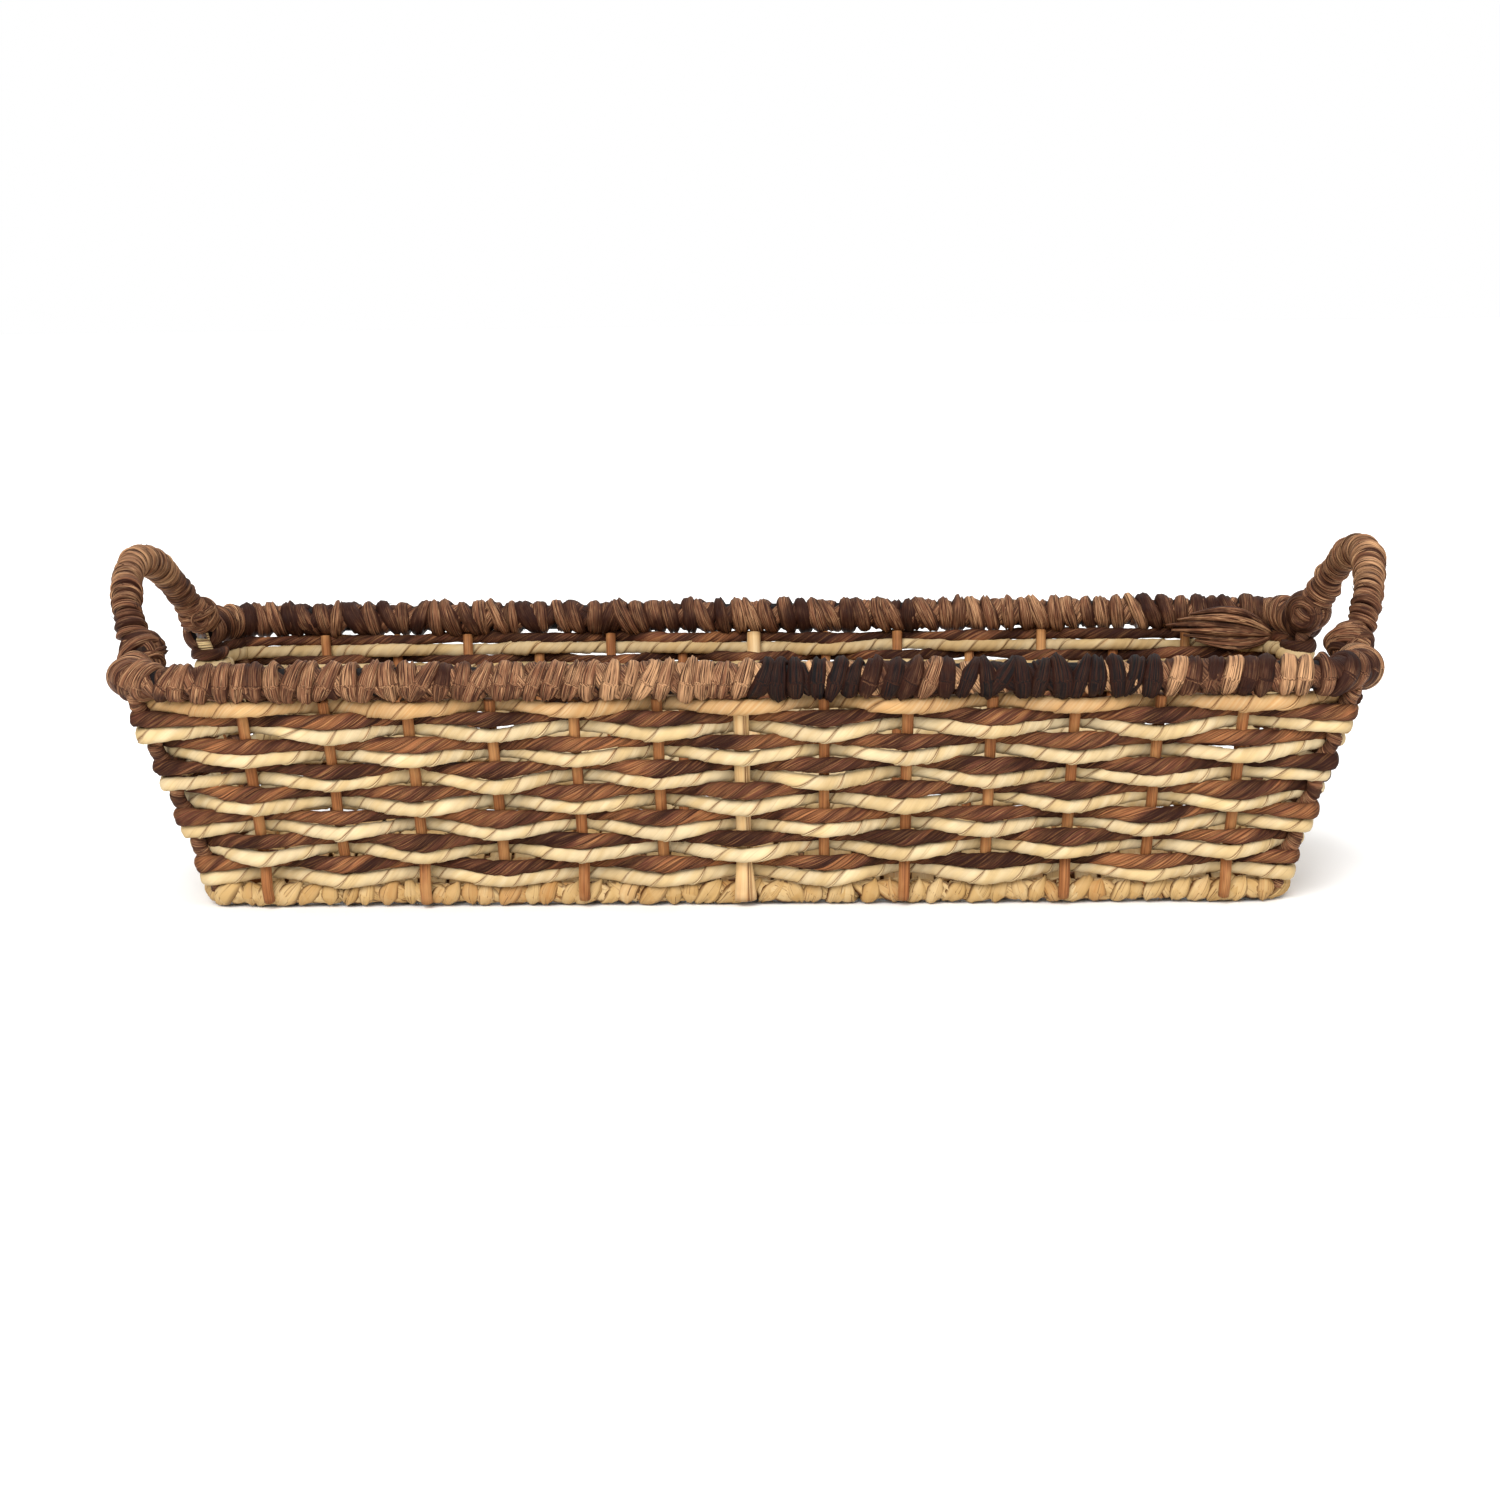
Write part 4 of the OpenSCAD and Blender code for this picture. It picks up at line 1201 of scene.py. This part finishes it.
def border_foot_strips(sheaf, rng, path, core):
    """Folded strips that tie the outer stake feet to the border."""
    width, height, pinch = 5.6 * MM, 1.5 * MM, 0.45
    foot_angle, foot_spread = -0.25, 0.75  # where round the border a foot lifts the strip, and how widely
    rope = Rope(path)
    around = np.linspace(0, TAU, 36, endpoint=False)
    swell = np.exp(-((np.mod(around + np.pi, TAU) - np.pi - foot_angle) / foot_spread) ** 2)
    for k in range(WALL.count):
        if WALL.kind[k].startswith("stakes") and pair_side(0, k) > 0:
            foot = WALL.upright(k, SIZE.border_z)
            here = rope.s[np.argmin(np.linalg.norm(path[:, :2] - foot[:2], axis=1))]
            for shift in (rng.uniform(-4.6, -2.4), rng.uniform(2.2, 4.4)):
                lean = rng.uniform(1.5, 4.0) * MM * -np.sign(shift)
                place = np.clip(here + shift * MM - lean * np.sin(around), 0, rope.length)
                middle, normal = rope.round(place, around)
                reach = core + rng.uniform(1.0, 2.6) * MM * swell
                line = middle + reach[:, None] * normal
                wide = width * (1 - pinch * np.sin(around) ** 2) * np.ones(len(around))
                band(sheaf, rng, line, normal, wide, np.full(len(around), height),
                     border_tone(rng, foot, 1), crease=0.8)


class BASKET_OT_border(PieceOperator):
    """Makes the base border: folded pale strips lashed round the bottom wire"""
    bl_idname = "basket.border"
    bl_label = "Base Border"

    def make(self, sizes):
        corner, strip_height, lean = 12 * MM, 2.6 * MM, 2.6 * MM
        rng = np.random.default_rng(5)
        sheaf = Sheaf()
        path = rounded_line(SIZE.border_hx, SIZE.border_hy, corner, SIZE.border_z)
        core = SIZE.border_r - 2.4 * MM
        rope_core(sheaf, path, core, [1.0, 3, 1.0])
        lash(sheaf, rng, path, core, sizes.border_pitch, sizes.border_pitch, strip_height, lean,
             border_tone, closed=True, pinch=0.75)
        border_foot_strips(sheaf, rng, path, core)
        add_hairs(sheaf, rng, path, SIZE.border_r, sizes.loose_fibres // 8, border_tone, 3 * MM)
        sheaf.build("Base_Border_Wrap", border_leaf(), ["base_border_wrap"], "light_leaf")


class BASKET_OT_rim(PieceOperator):
    """Makes the rim: crossing strips of dark leaf lashed round the rope"""
    bl_idname = "basket.rim"
    bl_label = "Rim Wrap"

    def make(self, sizes):
        line = rounded_line(SIZE.rim_hx, SIZE.rim_hy, SIZE.rim_corner, SIZE.rim_z)
        into_knots, strip_height, lean = 2 * MM, 2.7 * MM, 2.0 * MM
        front = line[line[:, 1] < -SIZE.rim_end + into_knots]
        rear = line[line[:, 1] > SIZE.rim_end - into_knots]
        for name, path, seed, tone_at in (("rim_wrap_front", front, 19, front_rim_tone),
                                          ("rim_wrap_rear", rear, 23, rear_rim_tone)):
            rng = np.random.default_rng(seed)
            sheaf = Sheaf()
            core = SIZE.rim_r - 2.0 * MM
            rope_core(sheaf, path, core + 0.3 * MM, [0.15, 7, 0])
            lash(sheaf, rng, path, core, sizes.rim_pitch, 1.08 * sizes.rim_pitch, strip_height, lean,
                 tone_at, pinch=0.34)
            add_hairs(sheaf, rng, path, SIZE.rim_r, sizes.loose_fibres // 4, tone_at, 5 * MM)
            sheaf.build(name.title(), rim_leaf(), [name], "rim_leaf")


def arch_path(sign, low, high, steps=160):
    """The middle line of one handle, from its front foot over the top to its rear foot."""
    a = np.linspace(low, high, steps)
    rise = SIZE.arch_z - SIZE.rim_z
    reach = SIZE.arch_x - SIZE.rim_hx
    return np.column_stack([sign * (SIZE.rim_hx + reach * np.sin(a)), -SIZE.leg_y * np.cos(a),
                            SIZE.rim_z + rise * np.sin(a)])


def handle_wrap(sizes, name, sign):
    """The coiled wrap of one handle, lighter towards its top."""
    rng = np.random.default_rng(31 + sign)
    sheaf = Sheaf()
    foot_gap, light_from = 0.06, SIZE.arch_z - 12 * MM  # an angle at each foot, and a height
    path = resample(arch_path(sign, foot_gap, np.pi - foot_gap), 1.2 * MM)
    flat = unit(np.cross(path[1] - path[0], path[len(path) // 2] - path[0]))

    def tone_at(rng, point, layer):
        middle = 0.66 if point[2] > light_from else 0.50
        return np.array([middle + rng.uniform(-0.12, 0.16), 3.0 + sign, 0.0])

    core = SIZE.handle_r - 1.6 * MM
    rope_core(sheaf, path, core - 0.7 * MM, [0.1, 2, 0], flat)
    coil(sheaf, rng, path, core - 0.6 * MM, sizes.coil_pitch, 1.05 * sizes.coil_pitch, 2.5 * MM, tone_at,
         flat, 0.09)
    add_hairs(sheaf, rng, path, SIZE.handle_r, sizes.loose_fibres // 12, tone_at, 4 * MM)
    sheaf.build(name.title(), rim_leaf(), [name], "rim_leaf")


def end_rail_wrap(name, sign):
    """The coiled wrap of the rail under one hand-hole."""
    rng = np.random.default_rng(61 + sign)
    sheaf = Sheaf()
    pitch, width, height, fibres = 4.4 * MM, 5.6 * MM, 1.3 * MM, 20
    y = np.linspace(-SIZE.rail[1], SIZE.rail[1], 80)
    path = np.column_stack([np.full(len(y), sign * SIZE.rail[0]), y, np.full(len(y), SIZE.rail[2])])
    core = SIZE.rail_r - 1.2 * MM
    rope_core(sheaf, path, core, [0.3, 2, 0])
    coil(sheaf, rng, path, core, pitch, width, height, tones_between(0.38, 0.6))
    add_hairs(sheaf, rng, path, SIZE.rail_r, fibres, tones_between(0.4, 0.6), 5 * MM)
    sheaf.build(name.title(), rim_leaf(), [name], "rim_leaf")


class BASKET_OT_handles(PieceOperator):
    """Makes the coiled wraps of the two handles and of the rails under the hand-holes"""
    bl_idname = "basket.handles"
    bl_label = "Handle Wraps"

    def make(self, sizes):
        handle_wrap(sizes, "handle_wrap_left", -1)
        handle_wrap(sizes, "handle_wrap_right", 1)
        end_rail_wrap("end_rail_wrap_left", -1)
        end_rail_wrap("end_rail_wrap_right", 1)


class BASKET_OT_foot_knots(PieceOperator):
    """Winds the four lumps of leaf that bind the handle feet to the rim"""
    bl_idname = "basket.foot_knots"
    bl_label = "Foot Knots"

    def make(self, sizes):
        for name in ("foot_lashing_front_left", "foot_lashing_front_right",
                     "foot_lashing_rear_left", "foot_lashing_rear_right"):
            self.foot_knot(sizes, name)

    @staticmethod
    def foot_knot(sizes, name):
        """One lump: a ball of leaf with bands wound over it, few wide ones where it is smooth."""
        rng = np.random.default_rng(sum(map(ord, name)))
        low, high = node_box(name)
        centre, radius = (low + high) / 2, SIZE.lump_r
        centre[1] = np.sign(centre[1]) * SIZE.leg_y
        if name.endswith("rear_left"):
            radius *= 0.82
            centre[2] += 2.5 * MM
        lean = (0.35 * np.sign(centre[0]), -0.5 * np.sign(centre[1]), 0.8)
        # each row of bands has the axis it is wound round, its number of bands and its share of the size
        if name.endswith("rear_right"):
            tone_at, width = tones_between(0.36, 0.50), 6.4 * MM
            axes = ((lean, 4, 0.92), ((0.2, 1, 0.1), 3, 1.02))
        else:
            tone_at, width = tones_between(0.34, 0.62), 3.9 * MM
            axes = ((lean, 5, 0.92), ((0, 1, 0.15), 4, 0.97), (lean, 4, 1.03))
        sheaf = Sheaf()
        ball = np.linspace(-0.72, 0.72, 9)
        path = centre + radius * ball[:, None] * UP
        size = radius * 0.86 * np.sqrt(1 - ball ** 2)
        plain_rod(sheaf, path, size, 20, tone_at(rng, centre, 0), np.array([1.0, 0, 0]), 0.3)
        knot(sheaf, rng, centre, radius, axes, tone_at, width)
        add_hairs(sheaf, rng, path, 0.9 * radius, sizes.loose_fibres // 24, tone_at, 5 * MM)
        sheaf.build(name.title(), rim_leaf(), [name], "rim_leaf")


class BASKET_OT_leaf_tuck(PieceOperator):
    """Lays the loose fan of leaf ends tucked inside the rear right corner"""
    bl_idname = "basket.leaf_tuck"
    bl_label = "Leaf Tuck"

    def make(self, sizes):
        blades = 6
        rng = np.random.default_rng(90)
        sheaf = Sheaf()
        for i in range(blades):
            self.blade(sheaf, rng, i % 2 == 1, i / (blades - 1))
        sheaf.build("Leaf_Tuck", rim_leaf(), ["leaf_tuck"], "rim_leaf")

    @staticmethod
    def blade(sheaf, rng, raised, share):
        """One leaf end; share runs from 0 at the top of the fan to 1 at its foot."""
        half_width, height = 2.7 * MM, 1.5 * MM
        low, high = node_box("leaf_tuck")
        tall = high[2] - low[2]
        start = np.array([high[0] + 5 * MM, low[1] + 3 * MM, low[2] + (0.30 - 0.20 * share) * tall])
        end = np.array([low[0] + (1 + 12 * abs(2 * share - 0.9)) * MM, low[1] + 2.4 * MM,
                        high[2] + (0.04 - 1.04 * share) * tall])
        t = np.linspace(0, 1, 34)[:, None]
        arc = np.sin(np.pi * t[:, 0] ** 0.8)
        line = start + (end - start) * t
        line[:, 2] += (5.5 - 8.5 * share) * MM * arc
        line[:, 1] -= (1.8 if raised else 0.4) * MM * arc
        width = half_width * (0.3 + np.sin(np.pi * np.clip(t[:, 0] * 0.86 + 0.14, 0, 1)))
        normal = np.tile([0.0, -1.0, 0.25 - 0.3 * share], (len(line), 1))
        tone = leaf_tone(rng, rng.uniform(0.50, 0.72) if raised else rng.uniform(0.36, 0.50))
        band(sheaf, rng, line, unit(normal), width, np.full(len(line), height), tone, loop=False,
             crease=0.3, fullness=0.5)


class BASKET_OT_wires(PieceOperator):
    """Gives the bent wires of the frame, which stay as they are, their metal finish"""
    bl_idname = "basket.wires"
    bl_label = "Wire Frame"

    def make(self, sizes):
        for name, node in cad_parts.items():
            if "wire" in name or "bow" in name:
                node.data.materials.clear()
                node.data.materials.append(bent_wire())
                for polygon in node.data.polygons:
                    polygon.material_index = 0


# ---------------------------------------------------------------- stage

def soft_light(name, place, spread_degrees, strength):
    """Light of one strength everywhere, from one side, with soft shadows."""
    lamp = bpy.data.lights.new(name, "SUN")
    lamp.angle, lamp.energy = np.radians(spread_degrees), strength
    light = bpy.data.objects.new(name, lamp)
    light.location = place
    light.rotation_euler = (-Vector(place)).to_track_quat("-Z", "Y").to_euler()
    bpy.context.scene.collection.objects.link(light)


class BASKET_OT_stage(Operator):
    """Sets the pale floor, the soft light and the camera"""
    bl_idname = "basket.stage"
    bl_label = "Stage"

    def execute(self, context):
        scene = context.scene
        self.make_floor(scene)
        self.make_surroundings(scene)
        # each lamp has its place, how wide its light spreads in degrees, and its strength
        soft_light("Key", (-0.35, -1.0, 0.75), 40, 3.5)
        soft_light("Fill", (0.9, -0.9, 0.5), 60, 1.2)
        soft_light("Top", (0.1, 0.5, 1.0), 60, 1.7)
        scene.view_settings.view_transform = "Standard"
        self.set_camera(scene)
        return {"FINISHED"}

    @staticmethod
    def make_floor(scene):
        """A pale floor, a hair below the ground so that no foot meets it edge on."""
        half = 9
        mesh = bpy.data.meshes.new("Floor")
        mesh.from_pydata([(-half, -half, 0), (half, -half, 0), (half, half, 0), (-half, half, 0)],
                         [], [(0, 1, 2, 3)])
        floor = bpy.data.objects.new("Floor", mesh)
        floor.location = (0, 0, -0.4 * MM)
        scene.collection.objects.link(floor)
        plain = bpy.data.materials.new("Pale Floor")
        plain.use_nodes = True
        shader = next(node for node in plain.node_tree.nodes if node.type == "BSDF_PRINCIPLED")
        shader.inputs["Base Color"].default_value = (0.93, 0.93, 0.92, 1)
        shader.inputs["Roughness"].default_value = 0.9
        mesh.materials.append(plain)

    @staticmethod
    def make_surroundings(scene):
        """White surroundings, which light the basket with half the strength that they show."""
        lighting_strength = 0.5
        world = scene.world or bpy.data.worlds.new("Studio")
        scene.world = world
        world.use_nodes = True
        nodes, links = world.node_tree.nodes, world.node_tree.links
        sky = next(node for node in nodes if node.type == "BACKGROUND")
        sky.inputs["Color"].default_value = (1, 1, 1, 1)
        sky.inputs["Strength"].default_value = 1.0
        seen = nodes.new("ShaderNodeLightPath")
        strength = nodes.new("ShaderNodeMapRange")
        strength.inputs["To Min"].default_value = lighting_strength
        links.new(seen.outputs["Is Camera Ray"], strength.inputs["Value"])
        links.new(strength.outputs[0], sky.inputs["Strength"])

    @staticmethod
    def set_camera(scene):
        """A long lens, a little above the rim, with a slight turn and tilt."""
        elevation, yaw, roll = np.radians((9.34, 1.66, -0.68))
        target, distance_off = np.array([0.0005, 0, 0.0453]), 1.159
        level = np.cos(elevation)
        back = np.array([np.sin(yaw) * level, -np.cos(yaw) * level, np.sin(elevation)])
        right = np.array([np.cos(yaw), np.sin(yaw), 0])
        up = np.cross(back, right)
        turned_right = np.cos(roll) * right + np.sin(roll) * up
        turned_up = np.cos(roll) * up - np.sin(roll) * right
        place = target + distance_off * back
        axes = np.column_stack([turned_right, turned_up, back, place])
        lens = bpy.data.cameras.new("Camera")
        lens.lens, lens.sensor_width = 72, 36
        camera = bpy.data.objects.new("Camera", lens)
        camera.matrix_world = Matrix(np.vstack([axes, [0, 0, 0, 1]]).tolist())
        scene.collection.objects.link(camera)
        scene.camera = camera


STEPS = (BASKET_OT_stage, BASKET_OT_stakes, BASKET_OT_posts, BASKET_OT_base_panel, BASKET_OT_strands,
         BASKET_OT_border, BASKET_OT_rim, BASKET_OT_handles, BASKET_OT_foot_knots, BASKET_OT_leaf_tuck,
         BASKET_OT_wires)


class BASKET_PT_maker(Panel):
    """Lists the basket's sizes, colours and pieces"""
    bl_idname = "BASKET_PT_maker"
    bl_label = "Woven Basket"
    bl_space_type = "VIEW_3D"
    bl_region_type = "UI"
    bl_category = "Basket"

    def draw(self, context):
        for settings in (context.scene.basket_sizes, context.scene.basket_colours):
            box = self.layout.box()
            for title in settings.__annotations__:
                box.prop(settings, title)
        for step in STEPS:
            self.layout.operator(step.bl_idname)


CLASSES = (BasketSizes, BasketColours, *STEPS, BASKET_PT_maker)


def register():
    for item in CLASSES:
        bpy.utils.register_class(item)
    bpy.types.Scene.basket_sizes = PointerProperty(type=BasketSizes)
    bpy.types.Scene.basket_colours = PointerProperty(type=BasketColours)


def unregister():
    del bpy.types.Scene.basket_colours
    del bpy.types.Scene.basket_sizes
    for item in reversed(CLASSES):
        bpy.utils.unregister_class(item)


def main():
    register()
    for step in STEPS:
        group_name, operator_name = step.bl_idname.split(".")
        getattr(getattr(bpy.ops, group_name), operator_name)()
    bpy.context.view_layer.update()


if __name__ == "__main__":
    main()
